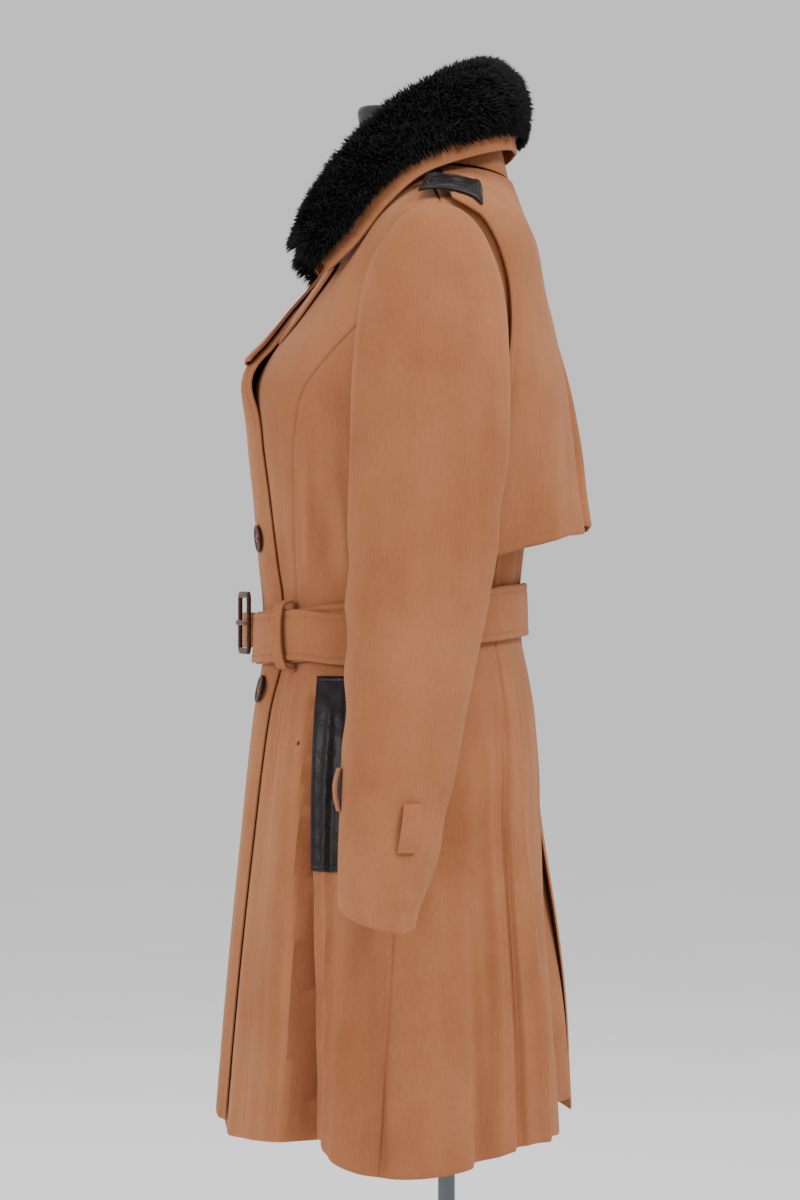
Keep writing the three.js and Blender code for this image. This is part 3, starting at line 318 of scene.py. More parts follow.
def srgb(code):
    """A hex colour as linear RGBA."""
    parts = [int(code[i:i + 2], 16) / 255 for i in (1, 3, 5)]
    linear = [p / 12.92 if p <= 0.04045 else ((p + 0.055) / 1.055) ** 2.4 for p in parts]
    return (*linear, 1)


def new_finish(name):
    """An empty material: its tree, its object coordinates and its output."""
    material = bpy.data.materials.new(name)
    material.use_nodes = True
    tree = material.node_tree
    tree.nodes.clear()
    place = add_node(tree, "ShaderNodeTexCoord").outputs["Object"]
    output = add_node(tree, "ShaderNodeOutputMaterial")
    return material, tree, place, output


def per_metre(millimetres):
    """The texture scale that gives a pattern this size."""
    return 1000 / millimetres


def noise(tree, source, millimetres, detail, **more):
    """Soft noise whose pattern has this size."""
    settings = {"Scale": per_metre(millimetres), "Detail": detail}
    settings.update({name.title(): value for name, value in more.items()})
    return add_node(tree, "ShaderNodeTexNoise", settings, {"Vector": source}).outputs["Fac"]


def colour_ramp(tree, source, *stops):
    """Colours along a value, as places and hex codes from the first to the last."""
    node = add_node(tree, "ShaderNodeValToRGB", {}, {"Fac": source})
    elements = node.color_ramp.elements
    for element, (place, code) in zip(elements, (stops[0], stops[-1])):
        element.position = place
        element.color = srgb(code)
    for place, code in stops[1:-1]:
        elements.new(place).color = srgb(code)
    return node.outputs["Color"]


def ranged(tree, source, low, high, start=0.3, end=0.7):
    settings = {"From Min": start, "From Max": end, "To Min": low, "To Max": high}
    return add_node(tree, "ShaderNodeMapRange", settings, {"Value": source}).outputs["Result"]


def scaled_sum(tree, first, share, second):
    return add_node(tree, "ShaderNodeMath", {"operation": "MULTIPLY_ADD", 1: share},
                    {0: first, 2: second}).outputs["Value"]


def darkened(tree, colour, factor):
    settings = {"data_type": "RGBA", "blend_type": "MULTIPLY", "Factor": 1.0}
    return add_node(tree, "ShaderNodeMix", settings, {6: colour, 7: factor}).outputs[2]


def bumped(tree, height, strength, distance):
    settings = {"Strength": strength, "Distance": distance}
    return add_node(tree, "ShaderNodeBump", settings, {"Height": height}).outputs["Normal"]


def stretched(tree, place, scale):
    return add_node(tree, "ShaderNodeMapping", {"Scale": scale}, {"Vector": place}).outputs["Vector"]


def with_surface(material, tree, output, settings, links):
    """The material, closed with a principled surface of these values and links."""
    shader = add_node(tree, "ShaderNodeBsdfPrincipled", settings, links)
    tree.links.new(shader.outputs[0], output.inputs["Surface"])
    return material


hole_turn, hole_level = np.array([47.8]), np.array([874.0])
hole_point = coat_point(hole_turn, hole_level, body_creases(hole_turn, hole_level))[0]
HOLE_PLACE = tuple(float(value) / 1000 for value in hole_point)


def brushed_wool_coating(name, shade, mid, light):
    """Wool coating, woven and then brushed: a matt felted face with a faint nap that runs
    down the cloth, soft cloudy tone where the nap lies differently, and pale halo at edges."""
    material, tree, place, output = new_finish(name)
    clouds = noise(tree, place, 110, 3.0, roughness=0.55)
    # Nap fibres are about 0.05 mm thick and 4 mm long, drawn 1.3 mm by 9 mm so that they show
    lengthways = stretched(tree, place, (1, 1, 0.14))
    nap = noise(tree, lengthways, 1.3, 4.0, roughness=0.6)
    # Felted grain of the milled weave, about 0.9 mm
    felt = noise(tree, place, 0.9, 2.0, roughness=0.7)
    # Patches where the nap was stroked another way, 25 mm
    stroked = noise(tree, lengthways, 25, 2.0)
    tone = scaled_sum(tree, stroked, 0.35, clouds)
    ramp = colour_ramp(tree, tone, (0.45, shade), (0.68, mid), (0.92, light))
    colour = darkened(tree, ramp, ranged(tree, nap, 0.9, 1.07))
    # A moth hole 3 mm across below the belt on the left, seen as a dark spot
    from_hole = add_node(tree, "ShaderNodeVectorMath", {"operation": "DISTANCE", 1: HOLE_PLACE}, {0: place})
    hole = ranged(tree, from_hole.outputs["Value"], 0.1, 1.0, 0.0015, 0.0026)
    bump = bumped(tree, scaled_sum(tree, felt, 0.7, nap), 0.35, 0.0006)
    return with_surface(material, tree, output,
                        {"Roughness": 0.92, "Specular IOR Level": 0.22, "Sheen Weight": 0.1,
                         "Sheen Roughness": 0.5, "Sheen Tint": srgb("#f0cfae")},
                        {"Base Color": darkened(tree, colour, hole), "Normal": bump})


def acrylic_pile():
    """Acrylic faux fur, knitted and sheared: near-black plush that drinks the light, with a
    few paler tips and a soft grey sheen where the pile leans."""
    material, tree, place, output = new_finish("acrylic_fur_sheared")
    # Locks of pile about 9 mm across
    ramp = colour_ramp(tree, noise(tree, place, 9, 3.0), (0.35, "#060607"), (0.75, "#131215"))
    return with_surface(material, tree, output,
                        {"Roughness": 0.72, "Specular IOR Level": 0.2, "Sheen Weight": 0.06,
                         "Sheen Roughness": 0.4, "Sheen Tint": srgb("#6a6870")}, {"Base Color": ramp})


def glazed_leather():
    """Sheep leather, drum dyed black and glazed: fine pebbled pores, soft creases and a dull
    gleam that breaks up over them."""
    material, tree, place, output = new_finish("sheep_leather_glazed")
    # Pores 0.7 mm apart drawn at 1.6 mm so that they show, and creases about 11 mm apart
    pores = add_node(tree, "ShaderNodeTexVoronoi", {"Scale": per_metre(1.6)}, {"Vector": place})
    wrinkle = noise(tree, place, 11, 5.0, roughness=0.62, distortion=0.6)
    bump = bumped(tree, scaled_sum(tree, pores.outputs["Distance"], 0.14, wrinkle), 0.5, 0.0016)
    ramp = colour_ramp(tree, wrinkle, (0.3, "#100b0c"), (0.75, "#221a1c"))
    return with_surface(material, tree, output, {"Specular IOR Level": 0.16},
                        {"Base Color": ramp, "Roughness": ranged(tree, wrinkle, 0.3, 0.5), "Normal": bump})


def polished_resin():
    """Polyester resin, cast as imitation horn and polished: deep red-brown streaks under a
    hard gloss."""
    material, tree, place, output = new_finish("polyester_resin_polished")
    # Horn streaks about 5 mm apart, drawn out along the piece
    streaks = noise(tree, stretched(tree, place, (0.3, 1, 1)), 5, 4.0, distortion=1.2)
    ramp = colour_ramp(tree, streaks, (0.38, "#1d0f0c"), (0.66, "#54291c"))
    return with_surface(material, tree, output, {"Roughness": 0.4, "IOR": 1.5, "Specular IOR Level": 0.18},
                        {"Base Color": ramp, "Normal": bumped(tree, streaks, 0.08, 0.0004)})


def knitted_jersey():
    """Cotton jersey, knitted and stretched over the form: dark grey with fine wales."""
    material, tree, place, output = new_finish("cotton_jersey_knitted")
    # Wales 0.9 mm apart drawn at 1.8 mm so that they show
    wales = add_node(tree, "ShaderNodeTexWave",
                     {"wave_type": "BANDS", "bands_direction": "DIAGONAL", "Scale": per_metre(1.8) / 6.28,
                      "Distortion": 1.5, "Detail": 2.0}, {"Vector": place})
    ramp = colour_ramp(tree, noise(tree, place, 6, 4.0), (0.3, "#101013"), (0.75, "#1d1d21"))
    return with_surface(material, tree, output,
                        {"Roughness": 0.8, "Sheen Weight": 0.2, "Sheen Roughness": 0.4},
                        {"Base Color": ramp, "Normal": bumped(tree, wales.outputs["Fac"], 0.25, 0.0004)})


def satin_steel():
    """Mild steel, drawn and satin coated grey: an even soft metal gleam with fine drawing
    lines."""
    material, tree, place, output = new_finish("mild_steel_satin")
    # Drawing lines under 0.1 mm apart, drawn at 0.8 mm
    lines = noise(tree, stretched(tree, place, (1, 1, 0.02)), 0.8, 2.0)
    scuffs = noise(tree, place, 30, 5.0)
    ramp = colour_ramp(tree, scuffs, (0, "#515255"), (1, "#67686c"))
    return with_surface(material, tree, output, {"Metallic": 0.9},
                        {"Base Color": ramp, "Roughness": ranged(tree, scuffs, 0.3, 0.46),
                         "Normal": bumped(tree, lines, 0.1, 0.0003)})


def spun_thread(name, dark, light):
    """Polyester sewing thread, spun and twisted: a fine slanting ply with a slight lustre."""
    material, tree, place, output = new_finish(name)
    # The ply's twist, 0.6 mm
    twist = noise(tree, place, 0.6, 1.0)
    return with_surface(material, tree, output, {"Roughness": 0.6},
                        {"Base Color": colour_ramp(tree, twist, (0, dark), (1, light)),
                         "Normal": bumped(tree, twist, 0.2, 0.0002)})


wool = brushed_wool_coating("wool_coating_brushed", "#8c5533", "#955d3c", "#9d6642")
fur = acrylic_pile()
leather = glazed_leather()
resin = polished_resin()
jersey = knitted_jersey()
steel = satin_steel()
tan_thread = spun_thread("polyester_thread_tan", "#8a5f40", "#a4754f")
black_thread = spun_thread("polyester_thread_black", "#161417", "#4a464c")


def make_piece(name, points, faces, finish, replaced=(), smooth_angle=50):
    """A mesh object from points in mm, in place, smooth but for its sharp edges."""
    mesh = bpy.data.meshes.new(name)
    mesh.from_pydata((np.asarray(points, float).reshape(-1, 3) * MM).tolist(), [], faces)
    mesh.shade_smooth()
    mesh.set_sharp_from_angle(angle=math.radians(smooth_angle))
    mesh.materials.append(finish)
    piece = bpy.data.objects.new(name, mesh)
    bpy.context.scene.collection.objects.link(piece)
    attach(piece, "root")
    if replaced:
        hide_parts(*replaced)
    return piece


def grid_faces(rows, columns, first=0, flip=False, around=False):
    """The quads of a grid of points, closed on itself if it runs around."""
    count = columns if around else columns - 1
    r, c = np.meshgrid(np.arange(rows - 1), np.arange(count), indexing="ij")
    right = (c + 1) % columns
    quads = [r * columns + c, r * columns + right, (r + 1) * columns + right, (r + 1) * columns + c]
    faces = np.stack([q.ravel() for q in quads], axis=1) + first
    return (faces[:, ::-1] if flip else faces).tolist()


def wall_faces(rows, columns):
    """Quads of a closed wall: an outer grid, an inner grid and the rims between them."""
    size = rows * columns
    faces = grid_faces(rows, columns) + grid_faces(rows, columns, size, flip=True)
    grid = np.arange(size).reshape(rows, columns)
    for edge, flip in [(grid[0], False), (grid[-1], True), (grid[:, 0], True), (grid[:, -1], False)]:
        for a, b in zip(edge[:-1].tolist(), edge[1:].tolist()):
            quad = [b, a, a + size, b + size]
            faces.append(quad[::-1] if flip else quad)
    return faces


def signed_volume(points, faces):
    points = np.asarray(points, float).reshape(-1, 3)
    quads = np.array([f for f in faces if len(f) == 4])
    a, b, c, d = (points[quads[:, i]] for i in range(4))
    return (np.einsum("ij,ij->i", a, np.cross(b, c)) + np.einsum("ij,ij->i", a, np.cross(c, d))).sum()


def cloth_wall(name, outer, inner, finish, replaced=(), smooth_angle=50):
    rows, columns = outer.shape[:2]
    points = np.concatenate([outer.reshape(-1, 3), inner.reshape(-1, 3)])
    faces = wall_faces(rows, columns)
    if signed_volume(points, faces) < 0:
        faces = [f[::-1] for f in faces]
    return make_piece(name, points, faces, finish, replaced, smooth_angle)


def grid_normals(grid):
    across = np.gradient(grid, axis=1)
    along = np.gradient(grid, axis=0)
    return unit(np.cross(across, along))


def mirrored(grid):
    return grid * np.array([-1, 1, 1])


def edged_shares(width, count, near=(0, 0.9, 2, 3.6, 5.2, 6.2, 7.2, 9)):
    """Shares along a strip with points close together at both ends, for turned edges and the
    stitching beside them. near lists the first places in mm."""
    start = np.array(near) / width
    middle = np.linspace(start[-1], 1 - start[-1], count)
    return np.concatenate([start[:-1], middle, 1 - start[:-1][::-1]])


def turned_edge(distance, drop=1.3, width=4):
    """How a sewn or turned edge falls away from the cloth's face, by the distance to it in mm."""
    return -drop * (1 - smooth(distance / width)) ** 1.5


def stitch_channel(distance, at=6.2, depth=0.55, half=1.5):
    """The shallow channel that a row of stitching leaves in brushed wool."""
    return -depth * bell((distance - at) / half)


# Armhole, an upright oval on the body's face that the sleeve is set into
ARMHOLE_Y, ARMHOLE_Z, ARMHOLE_HALF_Y, ARMHOLE_HALF_Z, ARMHOLE_LEAN = -17, 1241.5, 61, 100.5, 8


def armhole_place(turn, growth):
    upward, backward = np.cos(np.radians(turn)), np.sin(np.radians(turn))
    y = ARMHOLE_Y + ARMHOLE_LEAN * upward + (ARMHOLE_HALF_Y + growth) * backward
    z = ARMHOLE_Z + (ARMHOLE_HALF_Z + growth) * upward
    return find_on_body(1, 2, y, z, 95 + 22 * backward, z - 12)


def armhole_rows(from_turn, to_turn):
    angle, level = armhole_place(np.linspace(from_turn, to_turn, 25), SEAM / 2)
    order = np.argsort(level)
    return list(zip(level[order].tolist(), angle[order].tolist()))


ARMHOLE_FRONT = armhole_rows(180, 360)
ARMHOLE_BACK = armhole_rows(180, 0)


def armhole_angle(rows, level):
    top_level, top_angle = ARMHOLE_FRONT[-1]
    to_neck = mix(top_angle, 90, (level - top_level) / (NECK_LEVEL - top_level))
    return np.where(level >= top_level, to_neck, read_table(rows, 1, level))


def inside_armhole(points):
    z = (points[..., 2] - ARMHOLE_Z) / (ARMHOLE_HALF_Z + SEAM / 2)
    y = (points[..., 1] - ARMHOLE_Y - ARMHOLE_LEAN * z) / (ARMHOLE_HALF_Y + SEAM / 2)
    return y * y + z * z < 1


def armhole_meet(angle_at):
    """The levels at which lines that climb the body run into the armhole."""
    low, high = 1090.0, 1260.0
    low, high = np.full(np.shape(angle_at(low)), low), np.full(np.shape(angle_at(low)), high)
    for _ in range(30):
        middle = (low + high) / 2
        inside = inside_armhole(body_point(angle_at(middle), middle))
        low, high = np.where(inside, low, middle), np.where(inside, middle, high)
    return low


def front_edge(level):
    across = np.where(level < BREAK_LEVEL, -OVERLAP, read_table(ROLL_LINE, 1, level))
    return angle_across(across, level)


# Hem heights: own-side angle and level
HEM_ROWS = [
    (0, 520), (20, 521), (35, 527), (50, 533), (61, 539), (72, 524), (82, 515), (95, 512),
    (110, 517), (137, 527), (152, 523), (165, 518), (180, 516),
]


def hem_level(side, own_angle):
    hem = read_table(HEM_ROWS, 1, np.maximum(own_angle, 0))
    return hem if side > 0 else hem + 10 * smooth((60 - own_angle) / 30)


# How far each back swings away from centre back at the vent, and how far it leans out
VENT_OPEN = {1: 24, -1: 44}
VENT_LEAN = {1: -17, -1: 15}


def back_edge(side, level):
    opened = VENT_OPEN[side] * smooth((VENT_LEVEL - level) / (VENT_LEVEL - HEM_LEVEL)) ** 0.8
    across = np.maximum(opened, 0.15)
    return 180 - np.degrees(np.arcsin(np.clip(across / read_table(BODY_RINGS, HALF, level), -1, 1)))


def vent_lean(side, own_angle, level):
    return VENT_LEAN[side] * smooth((VENT_LEVEL - level) / 260) * smooth((own_angle - 145) / 35)


def wrap_lift(across):
    return WRAP_LIFT * smooth((OVERLAP + 62 - across) / 55)


def front_lift(side, angle, level):
    near_roll = smooth(1 - (angle - front_edge(level)) / 24)
    above_break = smooth((level - 1150) / 70) * smooth((NECK_LEVEL + 15 - level) / 60)
    if side > 0:
        return 1.5 * near_roll * above_break
    thinner = mix(1, 0.68, smooth((level - 1195) / 45))
    at_break = 5 * bell((level - BREAK_LEVEL + 6) / 32)
    across = body_point(angle, level)[..., 0]
    return wrap_lift(across) * thinner + (3 * above_break + at_break) * near_roll


def front_seam(level):
    return read_table(FRONT_SEAM, 1, level)


def side_seam(level):
    return read_table(SIDE_SEAM, 1, level)


def back_seam(level):
    return read_table(BACK_SEAM, 1, level)


FRONT_MEET = float(armhole_meet(front_seam))
BACK_MEET = float(armhole_meet(back_seam))


def front_outer(level):
    return np.where(level <= FRONT_MEET, front_seam(level), armhole_angle(ARMHOLE_FRONT, level))


def back_outer(level):
    return np.where(level <= BACK_MEET, back_seam(level), armhole_angle(ARMHOLE_BACK, level))


# Rows below this level spread evenly from the hem, and above it up to where two seams meet
SPREAD_LEVEL = 1090


def level_rows(hem, meet, top):
    """Levels of a panel's rows for each of its columns, close together at the hem."""
    hem, meet = np.broadcast_arrays(hem, meet)
    low_shares = np.concatenate([[0, 0.0016, 0.0036, 0.0065, 0.0095, 0.0125], np.linspace(0.017, 1, 98)])
    parts = [hem + (SPREAD_LEVEL - hem) * s for s in low_shares]
    parts += [SPREAD_LEVEL + (meet - SPREAD_LEVEL) * s for s in np.linspace(0, 1, 25)[1:]]
    if top:
        parts += [meet + (TIP_LEVEL - meet) * s for s in np.linspace(0, 1, 19)[1:]]
        parts += [TIP_LEVEL + (top - TIP_LEVEL) * s + 0 * meet for s in np.linspace(0, 1, 15)[1:]]
    return np.array(parts)


# The hem is turned up 50 mm and its edge shows as a faint line through the cloth
HEM_DEPTH = 50
# Behind a seam the cloth turns in this far, and the lapped front's edge lies down this far
SEAM_ALLOWANCE, EDGE_DROP = 1.2, 5
MEAN_RADIUS = 0.72  # the body's radius as a share of its half width, between side and front
PANEL_WIDTH, PANEL_COLUMNS = 205, 36


def body_panel(name, side, inner, outer, meet_of, top, lift_of, free_edges=(False, False)):
    shares = edged_shares(PANEL_WIDTH, PANEL_COLUMNS)

    def angle_at(level):
        extra = np.degrees(SEAM / 2 / (read_table(BODY_RINGS, HALF, level) * MEAN_RADIUS))
        low, high = inner(level) + extra, outer(level) - extra
        return low + (high - low) * shares
    hem = hem_level(side, angle_at(np.full(len(shares), float(HEM_LEVEL))))
    meet = meet_of(angle_at) if callable(meet_of) else np.full(len(shares), meet_of)
    levels = level_rows(hem, meet, top)
    angles = np.array([angle_at(row) for row in levels])
    half_width = read_table(BODY_RINGS, HALF, levels[:, :1])
    width = np.radians(np.abs(angles[:, -1:] - angles[:, :1])) * half_width
    from_start, from_end = shares * width, (1 - shares) * width
    from_hem = levels - levels[:1]
    lift = lift_of(angles, levels) + body_creases(side * angles, levels)
    edges = turned_edge(from_start) + turned_edge(from_end) + turned_edge(from_hem, 1.0, 3)
    edges = edges + stitch_channel(from_hem, HEM_DEPTH, 0.35, 5)
    for distance, free in zip((from_start, from_end), free_edges):
        if free:
            edges = edges + stitch_channel(distance)
    if name == "front_right":
        lift = lift - EDGE_DROP * (1 - smooth(from_start / 18))
    face = coat_point(side * angles, levels, lift + edges)
    allowance = np.degrees(SEAM_ALLOWANCE / (half_width * MEAN_RADIUS))
    start_turned = 0 if free_edges[0] else 1 - smooth(from_start / 3)
    turned_in = angles + allowance * ((1 - smooth(from_end / 3)) - start_turned)
    back = coat_point(side * turned_in, levels, lift - WALL)
    if free_edges[0]:
        edge_rows[name] = (face[5:, 5], body_normal(side * angles[5:, 5], levels[5:, 5]))
    return cloth_wall(name + "_cloth", face, back, wool, [name])


def no_lift(angle, level):
    return 0 * level


# The pieces by node, and the pile, thread and other pieces that are sewn to some of them
pieces, trimmings, edge_rows = {}, {}, {}
for side, hand in [(1, "left"), (-1, "right")]:
    def lift_front(angle, level, side=side):
        return front_lift(side, angle, level)

    def lean_back(angle, level, side=side):
        return vent_lean(side, angle, level)

    def centre_back(level, side=side):
        return back_edge(side, level)
    pieces[f"front_{hand}"] = body_panel(
        f"front_{hand}", side, front_edge, front_outer, FRONT_MEET, NECK_LEVEL, lift_front, (True, False))
    pieces[f"side_front_{hand}"] = body_panel(
        f"side_front_{hand}", side, front_seam, side_seam, armhole_meet, 0, lift_front)
    pieces[f"side_back_{hand}"] = body_panel(
        f"side_back_{hand}", side, side_seam, back_seam, armhole_meet, 0, no_lift)
    pieces[f"back_{hand}"] = body_panel(
        f"back_{hand}", side, back_outer, centre_back, BACK_MEET, NECK_LEVEL, lean_back)

# Left sleeve: run along it, the inner point by the body and the outer point of each oval, its
# centre in Y and its half depth
SLEEVE_RINGS = [
    (0, 178, 1141, 188, 1342, -15, 62),
    (4, 183, 1131, 212, 1339, -15, 64),
    (9, 184, 1117, 235, 1308, -16, 66),
    (15, 181, 1100, 249, 1255, -17, 68),
    (22, 177, 1076, 257, 1190, -18, 68),
    (32, 171, 1034, 263, 1102, -22, 66),
    (43, 172, 980, 269, 1010, -29, 61),
    (54, 186, 918, 280, 932, -37, 54),
    (66, 205, 848, 298, 854, -45, 48),
    (80, 219, 784, 313, 782, -53, 42),
    (100, 228, 738, 325, 722, -57, 38),
]
# Creases: run, turn, half length of the bell along and around, depth
SLEEVE_CREASES = [
    (38, -70, 5, 60, 3), (47, -60, 5, 70, 4), (57, -80, 5, 60, 3), (30, 80, 6, 60, 3), (72, 60, 6, 70, 3),
]
# Softer creases of the sleeve: start turn and run, end turn and run in mm of sleeve, half
# width, height. A degree round the sleeve is about 1 mm and a run of 1 is about 6 mm.
SLEEVE_WRINKLES = [
    (-60, 60, -75, 190, 14, 1.6),
    (-20, 40, -30, 210, 18, -1.2),
    (40, 60, 62, 200, 16, 1.4),
    (-95, 225, -20, 262, 10, -1.8),
    (-100, 262, -10, 300, 11, 1.6),
    (-96, 300, -5, 322, 10, -1.5),
    (95, 250, 30, 290, 11, -1.4),
    (98, 330, 30, 352, 11, 1.2),
    (-80, 380, -10, 440, 13, -1.2),
    (90, 420, 40, 500, 14, 1.3),
    (-40, 470, -46, 590, 15, 1.2),
    (170, 40, 176, 130, 12, -2.2),
    (200, 60, 196, 160, 11, 1.8),
    (150, 250, 210, 275, 12, -1.8),
    (150, 300, 215, 330, 12, 1.6),
]
SLEEVE_START, SLEEVE_RADIUS = 0.6, 36
RUN_LENGTH = 6.2  # mm of sleeve to one of run
CUFF_TAPER = 11  # the cuff's back draws in this far
CUFF_RISE = 16  # the cuff's edge stands this much higher at the front than at the back


def sleeve_point(turn, run, out=0):
    turn, run = np.broadcast_arrays(np.asarray(turn, float), np.asarray(run, float))
    in_x, in_z, out_x, out_z, centre_y, half_y = (read_table(SLEEVE_RINGS, k, run) for k in range(1, 7))
    inner = np.stack([in_x, centre_y, in_z], axis=-1)
    outer = np.stack([out_x, centre_y, out_z], axis=-1)
    centre = (inner + outer) / 2
    outward = outer - centre
    reach = np.linalg.norm(outward, axis=-1)
    crease = 0
    for at_run, at_turn, length, spread, depth in SLEEVE_CREASES:
        crease = crease + depth * bell((run - at_run) / length) * bell((turn - at_turn) / spread)
    wrinkle = crease_height(turn, run * RUN_LENGTH, SLEEVE_WRINKLES)
    grow = out - crease + wrinkle * smooth((run - 4) / 8)
    cosine, sine = np.cos(np.radians(turn)), np.sin(np.radians(turn))
    point = centre + unit(outward) * ((reach + grow) * cosine)[..., None]
    point[..., 1] += (half_y + grow) * sine
    point[..., 1] -= CUFF_TAPER * smooth((run - 76) / 24) * np.clip(sine, 0, 1)
    point[..., 2] += CUFF_RISE * smooth((run - 66) / 34) * (1 - sine) / 2
    fade = (1 - smooth(run / 6))[..., None]
    angle, level = armhole_place(turn, out - SEAM / 2)
    seat = body_point(angle, level) + body_normal(angle, level) * SLEEVE_START
    return mix(point, seat, fade)


def sleeve_panel(name, side, from_turn, to_turn, count):
    gap = np.degrees(SEAM / 2 / SLEEVE_RADIUS)
    width = to_turn - from_turn
    turns = from_turn + gap + (width - 2 * gap) * edged_shares(width, count, (0, 0.9, 2, 3.6, 5.6, 8))
    runs = np.concatenate([[0, 0.25, 0.55, 1, 1.5, 2.1, 2.8], np.linspace(3.6, 98.4, 92),
                           [98.9, 99.3, 99.6, 99.8, 99.92, 100]])
    turn, run = np.meshgrid(turns, runs)
    from_seam = np.minimum(turn - turns[0], turns[-1] - turn)
    from_cuff, from_head = (100 - run) * RUN_LENGTH, run * RUN_LENGTH
    edges = turned_edge(from_seam) + turned_edge(from_cuff, 1, 3) - 1.0 * bell(from_head / 4)
    edges = edges + stitch_channel(from_cuff, 42, 0.3, 5)
    face, back = sleeve_point(turn, run, edges), sleeve_point(turn, run, -WALL)
    if side < 0:
        face, back = mirrored(face), mirrored(back)
    return cloth_wall(name + "_cloth", face, back, wool, [name])


for side, hand in [(1, "left"), (-1, "right")]:
    pieces[f"top_sleeve_{hand}"] = sleeve_panel(f"top_sleeve_{hand}", side, -112, 112, 46)
    pieces[f"under_sleeve_{hand}"] = sleeve_panel(f"under_sleeve_{hand}", side, 112, 248, 28)

# Lapels: corners as places across and heights, at the gorge and at the lower end
LAPEL_TOP_ROLL, LAPEL_TIP = (37, 1327), (112, 1293)
LAPELS = [(1, (5, 1292), (68, 1231), 5), (-1, (-71, 1209), (-61, 1206), 17)]


# A lapel's sides for its edge rows, and degrees a millimetre across, to start a search from
LAPEL_SIZE, FIRST_GUESS = 80, 0.35


def lapel_piece(side, low_roll, low_edge, belly):
    shares = edged_shares(LAPEL_SIZE, 26, (0, 0.8, 1.8, 3.2, 5.2, 6.2, 7.2, 9))
    u, v = np.meshgrid(shares, shares)
    corners = []
    for k in (0, 1):
        on_roll = mix(low_roll[k], LAPEL_TOP_ROLL[k], v)
        on_edge = mix(low_edge[k], LAPEL_TIP[k], v)
        corners.append(mix(on_roll, on_edge, u))
    across, height = corners[0], corners[1] - belly * u * 4 * v * (1 - v)
    angle, level = find_on_body(0, 2, across, height, across * FIRST_GUESS, height)
    bulge = 2 * np.sin(math.pi * np.clip(u * 1.2, 0, 1)) + 3 * u * v
    lift = front_lift(side, angle, level) + WALL + SEAM + bulge
    edge = np.minimum((1 - u), np.minimum(v, 1 - v)) * LAPEL_SIZE
    roll = turned_edge(edge, 0.9, 3) + stitch_channel(edge, 6.2, 0.5)
    hand = "left" if side > 0 else "right"
    face = coat_point(side * angle, level, lift + roll)
    back = coat_point(side * angle, level, lift - WALL)
    return cloth_wall(f"lapel_{hand}_cloth", face, back, wool, [f"lapel_{hand}"])


for side, low_roll, low_edge, belly in LAPELS:
    pieces["lapel_left" if side > 0 else "lapel_right"] = lapel_piece(side, low_roll, low_edge, belly)

# Collar rails: run from centre back to the front end of the left half, x, y, z
COLLAR_SEAM = [
    (0, 0, 57, 1388.5), (0.2, 38, 48, 1390.5), (0.4, 62, 20, 1395), (0.55, 71, -16, 1396),
    (0.7, 69, -48, 1389), (0.85, 59, -80, 1368), (1, 45, -108, 1342),
]
COLLAR_FOLD = [
    (0, 0, 40, 1477), (0.2, 36, 28, 1474), (0.4, 61, -2, 1459), (0.55, 70, -38, 1437),
    (0.7, 76, -74, 1402), (0.85, 78, -104, 1362), (1, 66, -124, 1328),
]
COLLAR_EDGE = [
    (0, 0, 65, 1414), (0.2, 48, 56, 1411), (0.4, 93, 22, 1398), (0.55, 124, -22, 1378),
    (0.7, 139, -54, 1349), (0.85, 143, -82, 1313), (1, 134, -107, 1290),
]
NECK_AXIS_Y = -25


def collar_rail(rows, run):
    own = np.abs(run)
    x = read_table(rows, 1, own) * np.where(run < 0, -1, 1)
    return np.stack([x, read_table(rows, 2, own), read_table(rows, 3, own)], axis=-1)


def centripetal(points, ratio):
    """A point of a centripetal Catmull-Rom curve through a list of points, at a ratio."""
    count = len(points)
    place = ratio * (count - 1)
    i = min(int(place), count - 2)
    t = place - i
    p1, p2 = points[i], points[i + 1]
    p0 = points[i - 1] if i > 0 else 2 * points[0] - points[1]
    p3 = points[i + 2] if i + 2 < count else 2 * points[-1] - points[-2]
    d0, d1, d2 = (np.maximum(np.sum((b - a) ** 2, axis=-1, keepdims=True) ** 0.25, 1e-4)
                  for a, b in ((p0, p1), (p1, p2), (p2, p3)))
    start = ((p1 - p0) / d0 - (p2 - p0) / (d0 + d1) + (p2 - p1) / d1) * d1
    end = ((p2 - p1) / d1 - (p3 - p1) / (d1 + d2) + (p3 - p2) / d2) * d1
    a, b = 2 * p1 - 2 * p2 + start + end, -3 * p1 + 3 * p2 - 2 * start - end
    return a * t**3 + b * t**2 + start * t + p1


def collar_surface(runs, ratios):
    """The collar's middle face: a row for each ratio and a column for each run."""
    seam, fold, edge = (collar_rail(rows, runs) for rows in (COLLAR_SEAM, COLLAR_FOLD, COLLAR_EDGE))
    away = unit(np.stack([fold[:, 0], fold[:, 1] - NECK_AXIS_Y, 0 * runs], axis=-1))
    roll = mix(7, 4, np.abs(runs))[:, None]
    upward = np.array([0, 0, 1])
    section = [
        seam,
        mix(seam, fold, 0.45) - 2 * away,
        fold - roll * away - roll * upward,
        fold,
        fold + roll * away - roll * upward,
        mix(fold, edge, 0.55) + 5 * away + 3 * upward,
        edge,
    ]
    return np.array([centripetal(section, ratio) for ratio in ratios])


